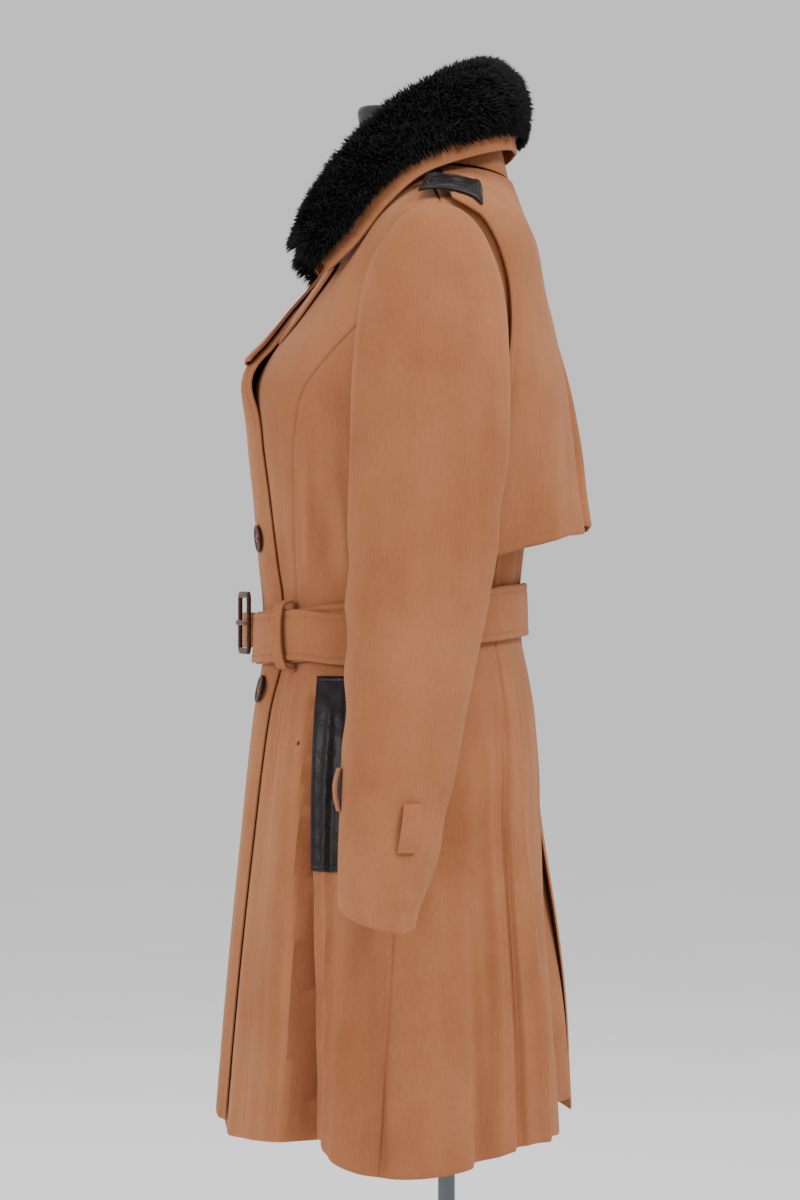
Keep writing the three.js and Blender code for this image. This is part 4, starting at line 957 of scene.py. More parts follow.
runs = np.concatenate([[-1, -0.996, -0.99, -0.982], np.linspace(-0.97, 0.97, 111),
                       [0.982, 0.99, 0.996, 1]])
ratios = np.concatenate([np.linspace(0, 0.94, 30), [0.96, 0.975, 0.988, 0.995, 1]])
collar_face = collar_surface(runs, ratios)
collar_out = grid_normals(collar_face)
sideways = collar_out[..., 0] * collar_face[..., 0]
if np.mean(sideways[20]) < 0:
    collar_out = -collar_out
edge_away = np.minimum((1 - ratios)[:, None] * 110, (1 - np.abs(runs))[None, :] * 300)
collar_half = (WALL / 2 + turned_edge(edge_away, 0.8, 3))[..., None]
pieces["collar"] = cloth_wall("collar_cloth", collar_face + collar_out * collar_half,
                              collar_face - collar_out * WALL / 2, wool, ["collar"])

# Fur on the upper collar: ratio down the section and height of the pile
FUR_ROWS = [(0.15, 6), (0.35, 11), (0.5, 22), (0.75, 24), (0.92, 10)]
FUR_SEAT = WALL / 2 + SEAM
FUR_FROM, FUR_TO = 2 / 12, 11 / 12


def fur_pile(run, ratio):
    along = (run + 1) / 2
    return read_table(FUR_ROWS, 1, ratio) * (0.55 + 0.45 * np.sqrt(np.clip(np.sin(math.pi * along), 0, 1)))


fur_runs, fur_ratios = np.linspace(-1, 1, 131), np.linspace(FUR_FROM, FUR_TO, 34)
fur_face = collar_surface(fur_runs, fur_ratios)
fur_out = grid_normals(fur_face)
if np.mean((fur_out[..., 0] * fur_face[..., 0])[26]) < 0:
    fur_out = -fur_out
run_grid, ratio_grid = np.meshgrid(fur_runs, fur_ratios)
pile = fur_pile(run_grid, ratio_grid)
CORE_SHARE = 0.62
core = fur_face + fur_out * (FUR_SEAT + CORE_SHARE * pile)[..., None]
pieces["fur_core"] = cloth_wall("fur_collar_backing", core, fur_face + fur_out * FUR_SEAT, fur,
                                ["fur_collar"])


def fur_tufts(name, from_run, to_run, count):
    """Tapered three-sided locks of pile, rooted in the core and leaning down the collar."""
    run, ratio = rng.uniform(from_run, to_run, count), rng.uniform(FUR_FROM, FUR_TO, count)
    column = (run + 1) / 2 * (len(fur_runs) - 1)
    row = (ratio - FUR_FROM) / (FUR_TO - FUR_FROM) * (len(fur_ratios) - 1)
    c = np.minimum(column.astype(int), len(fur_runs) - 2)
    r = np.minimum(row.astype(int), len(fur_ratios) - 2)
    s, t = (column - c)[:, None], (row - r)[:, None]

    def on_grid(grid):
        low = mix(grid[r, c], grid[r, c + 1], s)
        return mix(low, mix(grid[r + 1, c], grid[r + 1, c + 1], s), t)
    root_face, out = on_grid(fur_face), unit(on_grid(fur_out))
    down = unit(on_grid(np.gradient(fur_face, axis=0)))
    along = unit(on_grid(np.gradient(fur_face, axis=1)))
    height = on_grid(pile[..., None])
    # Locks that lean together, about 12 mm apart, make the plush's soft clumps
    sway = np.sin(run * 91 + 3 * np.sin(ratio * 17)) + np.sin(ratio * 43 + 2 * np.sin(run * 23))
    at_edge = smooth((ratio - 0.8) / 0.11) * (0.5 + 0.9 * smooth((np.abs(run) - 0.3) / 0.3))
    at_end = np.sign(run) * smooth((np.abs(run) - 0.93) / 0.07)
    lean_down = (0.45 + 0.22 * sway + 1.5 * at_edge + rng.normal(0, 0.2, count))[:, None]
    lean_along = (0.22 * np.sin(run * 57 + ratio * 31) + 2.2 * at_end + rng.normal(0, 0.25, count))[:, None]
    direction = unit(out + down * lean_down + along * lean_along)
    length = height * (1.02 - CORE_SHARE + rng.uniform(-0.06, 0.14, count)[:, None]) + 3.2
    length = length + (6 * at_edge + 7 * np.abs(at_end))[:, None]
    root = root_face + out * (FUR_SEAT + CORE_SHARE * height - 2.4)
    bent = unit(direction + down * 0.35)
    middle = root + direction * length * 0.6
    tip = middle + bent * length * 0.5
    radius = rng.uniform(0.7, 1.25, count)[:, None]
    side_a = unit(np.cross(direction, down + 0.01))
    side_b = np.cross(direction, side_a)
    rings = []
    for centre, width in ((root, radius), (middle, radius * 0.75)):
        for k in range(3):
            turn = 2 * math.pi * k / 3
            rings.append(centre + (side_a * math.cos(turn) + side_b * math.sin(turn)) * width)
    points = np.stack(rings + [tip], axis=1).reshape(-1, 3)
    pattern = np.array([[0, 2, 1], [0, 1, 4], [0, 4, 3], [1, 2, 5], [1, 5, 4], [2, 0, 3], [2, 3, 5],
                        [3, 4, 6], [4, 5, 6], [5, 3, 6]])
    faces = (pattern[None] + 7 * np.arange(count)[:, None, None]).reshape(-1, 3).tolist()
    return make_piece(name, points, faces, fur, smooth_angle=180)


TUFTS = 17500
trimmings["fur_core"] = [fur_tufts("fur_collar_pile_left", 0, 1, TUFTS),
                         fur_tufts("fur_collar_pile_right", -1, 0, TUFTS)]

# Storm flap: level, how far the face stands off the body at its sides and at centre back
CAPE_LIFTS = [
    (1036, 32, 62), (1060, 28, 56), (1102, 22, 43), (1143, 15, 33), (1192, 10, 22),
    (1243, 5.6, 12), (1286, 5.8, 5.4), (1330, 7.4, 4.8), (1384, 4.6, 4.4),
]
# Level and own-side angle of its side edges
CAPE_SIDES = [
    (1030, 117), (1100, 120), (1150, 124), (1200, 127), (1235, 128.5), (1264, 126.5),
    (1285, 122), (1302, 116), (1314, 109), (1322, 98), (1386, 96),
]
# Own-side angle and level of its lower edge
CAPE_BOTTOMS = [(117, 1043), (135, 1054), (150, 1063), (165, 1067), (180, 1070)]
CAPE_TOP = 1384
CAPE_FAR_LIFT = 11
PLEAT_HALF, PLEAT_FLOOR, PLEAT_DEPTH = 14, 6, 17
# Soft flutes down the flap: share of the way from side to centre, half width, height
CAPE_FLUTES = [(0.1, 0.09, 1.6), (0.3, 0.12, -2.4), (0.48, 0.1, 2.2), (0.66, 0.1, -2), (0.85, 0.1, 1.8)]


def cape_lift(own, level, side):
    toward_back = smooth((own - 112) / 60)
    base = mix(read_table(CAPE_LIFTS, 1, level), read_table(CAPE_LIFTS, 2, level), toward_back)
    farther = CAPE_FAR_LIFT * smooth((1285 - level) / 160) * smooth((own - 125) / 45)
    return base + np.where(side < 0, farther, 0)


def cape_point(side, share, across, sunk, level):
    opening = smooth((1300 - level) / 240)
    place = mix(3, across, opening) * np.where(sunk > 0, 0.9, 1)
    turn = np.degrees(np.arcsin(place / read_table(BODY_RINGS, HALF, level)))
    own = mix(read_table(CAPE_SIDES, 1, level), 180 - turn, share)
    out = cape_lift(own, level, side)
    for at, width, height in CAPE_FLUTES:
        out = out + height * opening * bell((share - at) / width)
    out = out - sunk * np.clip(out - 9, 0, PLEAT_DEPTH) * opening
    return body_point(side * own, level) + body_normal(side * own, level) * out[..., None]


# Half the flap's width, and how much higher the right half's hem lies at the pleat
CAPE_HALF, CAPE_UNEVEN = 150, 7
half_shares = edged_shares(CAPE_HALF, 34)
half = [(share, PLEAT_HALF, 0) for share in half_shares]
half += [(1, mix(PLEAT_HALF, PLEAT_FLOOR, step), step) for step in (0.3, 0.6, 0.85)]
half.append((1, PLEAT_FLOOR, 1))
columns = [(1, *column) for column in half] + [(-1, *column) for column in half[::-1]]
side, share, across, sunk = (np.array(column, float)[None, :] for column in zip(*columns))
bottom = read_table(CAPE_BOTTOMS, 1, mix(117, 180, share)) + np.where(side < 0, CAPE_UNEVEN * share, 0)
down_shares = np.concatenate([np.linspace(0, 0.965, 70), [0.972, 0.979, 0.985, 0.99, 0.994, 0.997, 1]])
levels = CAPE_TOP + (bottom - CAPE_TOP) * down_shares[:, None]
cape_face = cape_point(side, share, across, sunk, levels)
from_bottom = (levels - bottom) * 1.05
from_side = share * CAPE_HALF
cape_roll = turned_edge(from_bottom, 0.9, 3) + turned_edge(from_side, 0.9, 3)
cape_roll = cape_roll + stitch_channel(from_bottom, 8, 0.4, 2) + stitch_channel(from_side, 6.2, 0.4)
cape_out = grid_normals(cape_face)
if cape_out[40, 40, 1] < 0:
    cape_out = -cape_out
pieces["storm_flap"] = cloth_wall("storm_flap_cloth", cape_face + cape_out * cape_roll[..., None],
                                  cape_face - cape_out * WALL, wool, ["storm_flap"])


# Belt: a padded band round the waist, lower at the front
def outer_lift(angle, level):
    turn = signed_turn(angle)
    across = -body_point(turn, level)[..., 0]
    wrap = np.where(np.abs(turn) < 90, wrap_lift(across), 0)
    return wrap * smooth((OVERLAP + 40 + across) / 38)


def belt_point(angle, upward, out):
    middle = BELT_LEVEL - BELT_TILT * np.cos(np.radians(angle))
    level = middle + upward
    over_hip = 2.2 * smooth(-upward / BELT_HEIGHT)
    lift = outer_lift(angle, level) + over_hip + out
    outward = body_normal(angle, np.full(np.shape(level), BELT_LEVEL))
    return body_point(angle, level) + outward * lift[..., None]


# A folded belt's section, from its lower edge over the face and back behind: share of the
# height and share of the thickness
BELT_SECTION = [
    (-0.5, 0.5), (-0.495, 0.75), (-0.475, 0.95), (-0.44, 1.0), (-0.39, 0.98), (-0.365, 0.84), (-0.34, 1.0),
    (-0.2, 1.1), (0, 1.14), (0.2, 1.1), (0.34, 1.0), (0.365, 0.84), (0.39, 0.98), (0.44, 1.0),
    (0.475, 0.95), (0.495, 0.75), (0.5, 0.5), (0.495, 0.2), (0.46, 0), (0.25, 0), (0, 0), (-0.25, 0),
    (-0.46, 0), (-0.495, 0.2),
]


def tube_piece(name, rings, finish, replaced=(), smooth_angle=50):
    """A closed skin over rings of points, with a fan at each end."""
    rows, count = rings.shape[:2]
    points = np.concatenate([rings.reshape(-1, 3), rings[:1].mean(axis=1), rings[-1:].mean(axis=1)])
    faces = grid_faces(rows, count, around=True)
    last = (rows - 1) * count
    for c in range(count):
        following = (c + 1) % count
        faces.append([following, c, rows * count])
        faces.append([last + c, last + following, rows * count + 1])
    if signed_volume(points, faces) < 0:
        faces = [f[::-1] for f in faces]
    return make_piece(name, points, faces, finish, replaced, smooth_angle)


def belt_upward(angle, share, height, droop, seed):
    """How high over the belt's middle a share of its height lies, and how the belt wavers."""
    waver = np.sin(np.radians(angle) * 5 + seed) + 0.6 * np.sin(np.radians(angle) * 13 + 2 * seed)
    return share * height * (1 + 0.012 * waver) + 0.5 * waver - droop(angle)


def belt_band(name, from_angle, to_angle, height, seat, thick, count, droop, replaced, seed):
    angles = np.linspace(from_angle, to_angle, count)
    heights, depths = np.array(BELT_SECTION).T
    angle, share = np.meshgrid(angles, heights, indexing="ij")
    depth = np.broadcast_to(depths, angle.shape)
    upward = belt_upward(angle, share, height, droop, seed)
    puff = 0.5 * np.sin(np.radians(angle) * 17 + seed) * (1 - 4 * share**2)
    out = seat + thick * depth + np.where(depth > 0.8, puff, 0)
    return tube_piece(name, belt_point(angle, upward, out), wool, replaced)


def level_belt(angle):
    return 0 * angle


def tail_droop(angle):
    return 11 * smooth((angle - 42) / 36)


BELT_SEED, TAIL_SEED = 0.4, 1.7
pieces["belt"] = belt_band("belt_cloth", 12, 351, BELT_HEIGHT, BELT_SEAT, BELT_THICK, 200,
                           level_belt, ["belt"], BELT_SEED)
pieces["belt_tail"] = belt_band("belt_tail_cloth", 15, 82, BELT_HEIGHT - 3, TAIL_SEAT, TAIL_THICK, 60,
                                tail_droop, ["belt_tail"], TAIL_SEED)


def strap_along(name, middle, sideways, replaced):
    """A turned strip of cloth along a line of points, domed and rounded at its edges."""
    shares = np.array([-0.5, -0.49, -0.45, -0.38, -0.2, 0, 0.2, 0.38, 0.45, 0.49, 0.5])
    heights = np.array([0.45, 0.8, 1, 1.04, 1.1, 1.12, 1.1, 1.04, 1, 0.8, 0.45])
    along = unit(np.gradient(middle, axis=0))
    outward = unit(np.cross(sideways, along))
    top = middle[:, None] + sideways[:, None] * (shares * LOOP_WIDTH)[None, :, None]
    face = top + outward[:, None] * (heights * LOOP_THICK)[None, :, None]
    return cloth_wall(name, face, top, wool, replaced)


def smooth_line(points, count):
    """A denser, smooth line through a few points."""
    points = [np.array(p, float) for p in points]
    return np.array([centripetal(points, s) for s in np.linspace(0, 1, count)])


LOOP_STOPS = [(-29.5, -0.8), (-28.5, 1.5), (-26, 8), (0, 13), (26, 8), (28.5, 1.5), (30, 0.2)]
LOOP_WIDTH, LOOP_THICK = 12, 2.2


def belt_loop(name, angle, clearance):
    seats, sides = [], []
    at = np.array([float(angle)])
    for upward, out in LOOP_STOPS:
        over = clearance if out > 1 else 0
        height = np.array([float(upward)])
        seats.append(belt_point(at, height, 1.2 + out + over)[0])
        sides.append(unit(belt_point(at + 1, height, 0) - belt_point(at - 1, height, 0))[0])
    line, sideways = smooth_line(seats, 40), unit(smooth_line(sides, 40))
    return strap_along(f"{name}_cloth", line, sideways, [name])


pieces["belt_loop_left"] = belt_loop("belt_loop_left", 40, 1.5)
pieces["belt_loop_right"] = belt_loop("belt_loop_right", -40, -2.5)

# Loops for a cuff strap: name, turn, seat and runs, and share of the loop and lift of the stops
CUFF_LOOPS = [("outer", 19, 0.2, 69.8, 77.8), ("front", -84, 0, 64.6, 71.3)]
CUFF_STOPS = [(0, 1.2), (0.1, 2.4), (0.35, 4.2), (0.65, 3.6), (0.9, 1.4), (1, 0.6)]
for place, turn, seat, from_run, to_run in CUFF_LOOPS:
    shares = np.linspace(0, 1, 26)
    stops = mix(from_run, to_run, shares)
    turns = turn + np.array([-10, -9.6, -8.6, -7, -3.5, 0, 3.5, 7, 8.6, 9.6, 10])
    dome = np.array([0.45, 0.8, 1, 0.88, 1.08, 1.12, 1.08, 0.88, 1, 0.8, 0.45])
    lift = read_table(CUFF_STOPS, 1, shares)[:, None] + seat
    face = sleeve_point(turns[None, :], stops[:, None], lift + LOOP_THICK * dome)
    back = sleeve_point(turns[None, :], stops[:, None], lift + 0 * dome)
    for side, hand in [(1, "left"), (-1, "right")]:
        node = f"cuff_loop_{place}_{hand}"
        fronts, backs = (face, back) if side > 0 else (mirrored(face), mirrored(back))
        pieces[node] = cloth_wall(node + "_cloth", fronts, backs, wool, [node])


# Stitches are short rounded bars of thread laid in the cloth
STITCH_LENGTH, STITCH_PITCH, STITCH_RADIUS = 2.3, 3.6, 0.34


def stitch_row(line, outward, lift):
    """The points of a stitch every pitch along a line that has an outward direction each."""
    steps = np.linalg.norm(np.diff(line, axis=0), axis=1)
    along = np.concatenate([[0], np.cumsum(steps)])
    centres = np.arange(STITCH_PITCH, along[-1] - STITCH_PITCH, STITCH_PITCH)

    def at(distance, values):
        return np.stack([np.interp(distance, along, values[:, k]) for k in range(3)], axis=1)
    middle, up = at(centres, line), unit(at(centres, outward))
    ahead = unit(at(centres + 1, line) - at(centres - 1, line))
    side = np.cross(up, ahead)
    points = []
    for place, width, rise in [(-0.5, 0.5, -0.3), (-0.3, 1, 0.5), (0.3, 1, 0.5), (0.5, 0.5, -0.3)]:
        ring = middle + ahead * (place * STITCH_LENGTH) + up * (lift + rise * STITCH_RADIUS)
        for a, b in ((1, 0), (0, 1), (-1, 0), (0, -1)):
            points.append(ring + (side * a + up * b) * (STITCH_RADIUS * width))
    return np.stack(points, axis=1)


def stitching(name, rows, finish, lift=0.1):
    """One piece of thread for several rows, each a line and its outward directions."""
    pattern = grid_faces(4, 4, around=True) + [[3, 2, 1, 0], [12, 13, 14, 15]]
    all_points, all_faces, first = [], [], 0
    for line, outward in rows:
        block = stitch_row(line, outward, lift)
        count = len(block)
        faces = np.array(pattern)[None] + 16 * np.arange(count)[:, None, None] + first
        all_points.append(block.reshape(-1, 3))
        all_faces += faces.reshape(-1, 4).tolist()
        first += 16 * count
    return make_piece(name, np.concatenate(all_points), all_faces, finish)


# Stitching along the front's edge, and two rows along the belt in its hollows
for node, row in edge_rows.items():
    trimmings[node] = [stitching(f"{node}_edge_thread", [row], tan_thread)]
for node, from_angle, to_angle, height, seat, thick, droop, seed in [
        ("belt", 12.5, 350, BELT_HEIGHT, BELT_SEAT, BELT_THICK, level_belt, BELT_SEED),
        ("belt_tail", 15.5, 81.5, BELT_HEIGHT - 3, TAIL_SEAT, TAIL_THICK, tail_droop, TAIL_SEED)]:
    angles = np.linspace(from_angle, to_angle, 160)
    rows = []
    for share in (-0.365, 0.365):
        upward = belt_upward(angles, share, height, droop, seed)
        rows.append((belt_point(angles, upward, seat + thick * 0.84),
                     body_normal(angles, 0 * angles + BELT_LEVEL)))
    trimmings[node] = [stitching(f"{node}_thread", rows, tan_thread)]

# Leather pocket welts and shoulder straps, with their edges turned and stitched
LEATHER = 2.4
WELT_SLANT = 2.6
WELT_ANGLES, WELT_LEVELS, WELT_SEAT = (55, 70), (766, 932), {1: 1, -1: 0.7}


def leather_dome(edge):
    """Height of turned leather by the distance to its edge: rounded rim, sunk stitch line."""
    return -1.0 * (1 - smooth(edge / 2.4)) ** 1.5 + stitch_channel(edge, 4.2, 0.55, 1.3)


# First places in from the edge of a leather piece, in mm; the stitching runs at the sixth
LEATHER_EDGE = (0, 0.7, 1.6, 2.6, 3.5, 4.2, 5, 6.5)
LEATHER_WIDTH, WELT_LENGTH, STRAP_LENGTH = 46, 166, 66


def leather_grid(length, across_count, along_count):
    """Shares across and along a leather piece, and how far each point is from its edge."""
    u, v = np.meshgrid(edged_shares(LEATHER_WIDTH, across_count, LEATHER_EDGE),
                       edged_shares(length, along_count, LEATHER_EDGE))
    return u, v, np.minimum(np.minimum(u, 1 - u) * LEATHER_WIDTH, np.minimum(v, 1 - v) * length)


def leather_piece(node, face, back, out):
    """A turned leather piece and the thread round its edge."""
    pieces[node] = cloth_wall(node + "_leather", face, back, leather, [node])
    inside = slice(5, -5)
    row_lines = [(face[row], out[row]) for row in ((5, inside), (-6, inside), (inside, 5), (inside, -6))]
    trimmings[node] = [stitching(f"{node}_thread", row_lines, black_thread)]


for side, hand in [(1, "left"), (-1, "right")]:
    u, v, edge = leather_grid(WELT_LENGTH, 16, 46)
    angle = mix(WELT_ANGLES[0], WELT_ANGLES[1], u) + WELT_SLANT * (1 - v)
    level = mix(WELT_LEVELS[0], WELT_LEVELS[1], v)
    crumple = 0.5 * np.sin(u * 9 + v * 21) * np.sin(v * 33 - u * 4) * smooth(edge / 8)
    seat = WELT_SEAT[side] + 0.4 + body_creases(side * angle, level)
    face = coat_point(side * angle, level, seat + LEATHER + leather_dome(edge) + crumple)
    back = coat_point(side * angle, level, seat)
    leather_piece(f"pocket_welt_{hand}", face, back, body_normal(side * angle, level))

# Place across, and Y of the front and the back edge
STRAP_ROWS = [(122, -19, 23), (145, -21, 26), (170, -23, 25), (182, -25, 24)]
STRAP_SEAT = 8.2
for side, hand in [(1, "left"), (-1, "right")]:
    u, v, edge = leather_grid(STRAP_LENGTH, 14, 20)
    x = mix(STRAP_ROWS[-1][0], STRAP_ROWS[0][0], v)
    y = mix(read_table(STRAP_ROWS, 1, x), read_table(STRAP_ROWS, 2, x), u)
    angle, level = find_on_body(0, 1, x - 2, y, 90 + y * 0.5, 1330)
    crumple = (1.5 * np.sin(v * 21 + 5 * u) * np.sin(u * 7 + 1) + 0.8 * np.sin(v * 37 - 7 * u)) \
        * smooth(edge / 7)
    crumple = crumple + 3.2 * smooth((u - 0.72) / 0.2) * np.sin(math.pi * np.clip(v, 0, 1)) \
        * smooth(edge / 3)
    out = body_normal(side * angle, level)
    base = body_point(side * angle, level)
    face = base + out * (STRAP_SEAT + LEATHER + leather_dome(edge) + crumple)[..., None]
    back = base + out * STRAP_SEAT
    leather_piece(f"shoulder_strap_{hand}", face, back, out)

# Buckle: an open frame with rounded bars and a prong, turned so that its far end stands off
BUCKLE_ACROSS, BUCKLE_WIDTH, BUCKLE_HEIGHT, BUCKLE_BAR, BUCKLE_THICK = 18, 52, 58, 6, 4
BUCKLE_TURN, BUCKLE_RAISED, BUCKLE_SEAT = 13, 14, 3.7
front_of_belt = belt_point(np.array([0.0]), np.array([0.0]), TAIL_SEAT + TAIL_THICK + BUCKLE_SEAT)[0, 1]
buckle_centre = np.array([BUCKLE_ACROSS, front_of_belt, BELT_LEVEL - BELT_TILT + BUCKLE_RAISED])
turn = math.radians(BUCKLE_TURN)
buckle_across = np.array([math.cos(turn), math.sin(turn), 0])
buckle_outward = np.array([math.sin(turn), -math.cos(turn), 0])


def on_buckle(x, z, out):
    upward = np.array([0, 0, 1])
    return buckle_centre + np.multiply.outer(x, buckle_across) + np.multiply.outer(z, upward) \
        + np.multiply.outer(out, buckle_outward)


def rounded_ring(width, height, radius, corner_steps):
    """The centreline of a rounded rectangle and its outward directions."""
    places, outwards = [], []
    for corner, (sx, sz) in enumerate([(1, 1), (-1, 1), (-1, -1), (1, -1)]):
        for step in range(corner_steps + 1):
            turn = math.pi / 2 * (corner + step / corner_steps)
            direction = (math.cos(turn), math.sin(turn))
            places.append((sx * (width / 2 - radius) + radius * direction[0],
                           sz * (height / 2 - radius) + radius * direction[1]))
            outwards.append(direction)
    return np.array(places), np.array(outwards)


ring_places, ring_outs = rounded_ring(BUCKLE_WIDTH - BUCKLE_BAR, BUCKLE_HEIGHT - BUCKLE_BAR, 5, 10)
bar_turns = np.linspace(0, 2 * math.pi, 16, endpoint=False)
bar_side = np.sign(np.cos(bar_turns)) * np.abs(np.cos(bar_turns)) ** 0.6 * BUCKLE_BAR / 2
bar_out = np.sign(np.sin(bar_turns)) * np.abs(np.sin(bar_turns)) ** 0.6 * BUCKLE_THICK / 2
bar_out = bar_out + BUCKLE_THICK / 2
frame_x = ring_places[:, :1] + ring_outs[:, :1] * bar_side
frame_z = ring_places[:, 1:] + ring_outs[:, 1:] * bar_side
frame_rings = on_buckle(frame_x, frame_z, np.broadcast_to(bar_out, frame_x.shape))
rows, count = frame_rings.shape[:2]
faces = grid_faces(rows, count, around=True)
last = (rows - 1) * count
faces += [[last + c, last + (c + 1) % count, (c + 1) % count, c] for c in range(count)]
if signed_volume(frame_rings, faces) < 0:
    faces = [f[::-1] for f in faces]
pieces["buckle_frame"] = make_piece("buckle_frame_resin", frame_rings, faces, resin,
                                    ["buckle_frame"])

PRONG_WIDTH, PRONG_THICK = 5, 2.4
prong_x = np.linspace(-(BUCKLE_WIDTH - 4) / 2, (BUCKLE_WIDTH - 4) / 2, 30)
prong_end = np.sqrt(np.clip(1 - (np.abs(prong_x) / 24.2) ** 12, 0.05, 1))
taper = mix(1, 0.55, smooth((prong_x + 10) / 34)) * prong_end
prong_turns = np.linspace(0, 2 * math.pi, 14, endpoint=False)
prong_z = np.cos(prong_turns)[None] * PRONG_WIDTH / 2 * taper[:, None]
arch = BUCKLE_THICK + PRONG_THICK / 2 + SEAM + 0.5 * np.cos(prong_x / 24 * math.pi / 2)
prong_out = np.sin(prong_turns)[None] * PRONG_THICK / 2 * taper[:, None] + arch[:, None]
prong_rings = on_buckle(np.broadcast_to(prong_x[:, None], prong_z.shape), prong_z, prong_out)
pieces["buckle_prong"] = tube_piece("buckle_prong_resin", prong_rings, resin,
                                    ["buckle_prong"])

# The belt's turned end puffs out between the frame's bars
PUFF_HALF, PUFF_FOOT, PUFF_HEAD = 19.5, -22.5, 9.5
PUFF_CREST, PUFF_FAR_END, PUFF_NEAR_END, PUFF_CLOTH = 3.2, -7, -3, 2.4
puff_x, puff_z = np.meshgrid(np.linspace(-PUFF_HALF, PUFF_HALF, 28), np.linspace(PUFF_FOOT, PUFF_HEAD, 18))
foot = mix(PUFF_FAR_END, PUFF_NEAR_END, puff_x / PUFF_HALF / 2 + 0.5)
puff_out = mix(foot, PUFF_CREST, np.cos(puff_x / PUFF_HALF * math.pi / 2) ** 0.6)
puff_face, puff_back = on_buckle(puff_x, puff_z, puff_out), on_buckle(puff_x, puff_z, puff_out - PUFF_CLOTH)
trimmings["belt"].append(cloth_wall("belt_turn_cloth", puff_face, puff_back, wool))

# Buttons: places across and heights, and seats; a dished face with a rim and four thread holes
BUTTONS = [("upper_left", 52, 1057, 0.4), ("upper_right", -52, 1057, 0.4),
           ("lower_left", 56, 917, 0.45), ("lower_right", -56, 917, 0.35)]
# Section from the back's centre round the rim to the face's centre: radius and height
BUTTON_SECTION = [(0, 0), (9, 0), (11.6, 0.3), (12.7, 0.9), (13, 1.7), (12.8, 2.5), (12.2, 2.95), (11.2, 3),
                  (10.2, 2.75), (9.3, 2.3), (8.4, 2.15), (6, 2.1), (4.4, 2.1), (0, 2.1)]


BUTTON_SIDES, BAR_RINGS, BAR_SIDES = 40, 9, 6
# Sewing thread on a button: half the holes' spacing and where two bars cross beside each
# other, its height over the seat, how far it arches and its radius
HOLE_HALF, BAR_NEAR, BAR_FAR, BAR_HEIGHT, BAR_ARCH, BAR_RADIUS = 3, 2.7, 3.3, 1.7, 1.3, 0.55


def button_piece(name, across, height, seat):
    angle, level = find_on_body(0, 2, np.array([-across]), np.array([height]),
                                -across * FIRST_GUESS, height)
    lift = front_lift(-1, angle, level) + seat
    centre = coat_point(-angle, level, lift)[0]
    outward = body_normal(-angle, level)[0]
    sideways = unit(np.cross([0, 0, 1], outward))
    upward = np.cross(outward, sideways)
    section = np.array(BUTTON_SECTION)
    turns = np.linspace(0, 2 * math.pi, BUTTON_SIDES, endpoint=False)
    radius, rise = section[1:-1, :1], section[1:-1, 1:]
    flat = np.stack([radius * np.cos(turns), radius * np.sin(turns), rise + 0 * turns], axis=-1)
    points = centre + flat[..., :1] * sideways + flat[..., 1:2] * upward + flat[..., 2:] * outward
    tube_piece(f"button_{name}_resin", points, resin, [f"button_{name}"], 40)
    return centre, sideways, upward, outward


def thread_bar(start, end, outward):
    """A bar of thread that arches from one hole to the next."""
    line = np.array([mix(start, end, s) + outward * BAR_ARCH * math.sin(math.pi * s)
                     for s in np.linspace(0, 1, BAR_RINGS)])
    along = unit(np.gradient(line, axis=0))
    side = np.cross(along, outward)
    turns = np.linspace(0, 2 * math.pi, BAR_SIDES, endpoint=False)
    return line[:, None] + side[:, None] * (BAR_RADIUS * np.cos(turns))[None, :, None] \
        + outward * (BAR_RADIUS * np.sin(turns))[None, :, None]


for name, across, height, seat in BUTTONS:
    centre, sideways, upward, outward = button_piece(name, across, height, seat)
    rings = [thread_bar(centre + sideways * a + upward * HOLE_HALF + outward * BAR_HEIGHT,
                        centre + sideways * b - upward * HOLE_HALF + outward * BAR_HEIGHT, outward)
             for a, b in ((-BAR_FAR, BAR_NEAR), (-BAR_NEAR, BAR_FAR),
                          (BAR_FAR, -BAR_NEAR), (BAR_NEAR, -BAR_FAR))]
    points, faces = [], []
    for ring in rings:
        start = len(points)
        points += ring.reshape(-1, 3).tolist()
        last = start + (BAR_RINGS - 1) * BAR_SIDES
        faces += grid_faces(BAR_RINGS, BAR_SIDES, start, around=True)
        faces.append(list(range(start + BAR_SIDES - 1, start - 1, -1)))
        faces.append(list(range(last, last + BAR_SIDES)))
    make_piece(f"button_{name}_thread", points, faces, tan_thread)

# Pleat underlay behind the open vent
UNDERLAY_SEAT, UNDERLAY_FOLDS = 2.2, 10
u, v = np.meshgrid(edged_shares(140, 30), edged_shares(280, 60))
level = mix(530, VENT_LEVEL - 40, v)
across = mix(62, -84, u) * mix(1, 0.5, v)
turn = np.degrees(np.arcsin(across / read_table(BODY_RINGS, HALF, level)))
own = 180 - np.abs(turn)
lean = mix(vent_lean(1, own, level), vent_lean(-1, own, level), smooth((24 - across) / 68))
fold_room = UNDERLAY_FOLDS * smooth((900 - level) / 380)
to_far_edge = smooth((-across - 4) / 30)
lift = lean - WALL - mix(UNDERLAY_SEAT + fold_room, 0.4, to_far_edge)
from_edge = np.minimum(v * 280, np.minimum(u, 1 - u) * 140)
under_out = body_normal(180 - turn, level)
face = body_point(180 - turn, level) + under_out * (lift + turned_edge(from_edge, 0.9, 3))[..., None]
back = body_point(180 - turn, level) + under_out * (lift - WALL)[..., None]
pieces["vent_underlay"] = cloth_wall("vent_underlay_cloth", face, back, wool,
                                     ["vent_underlay"])

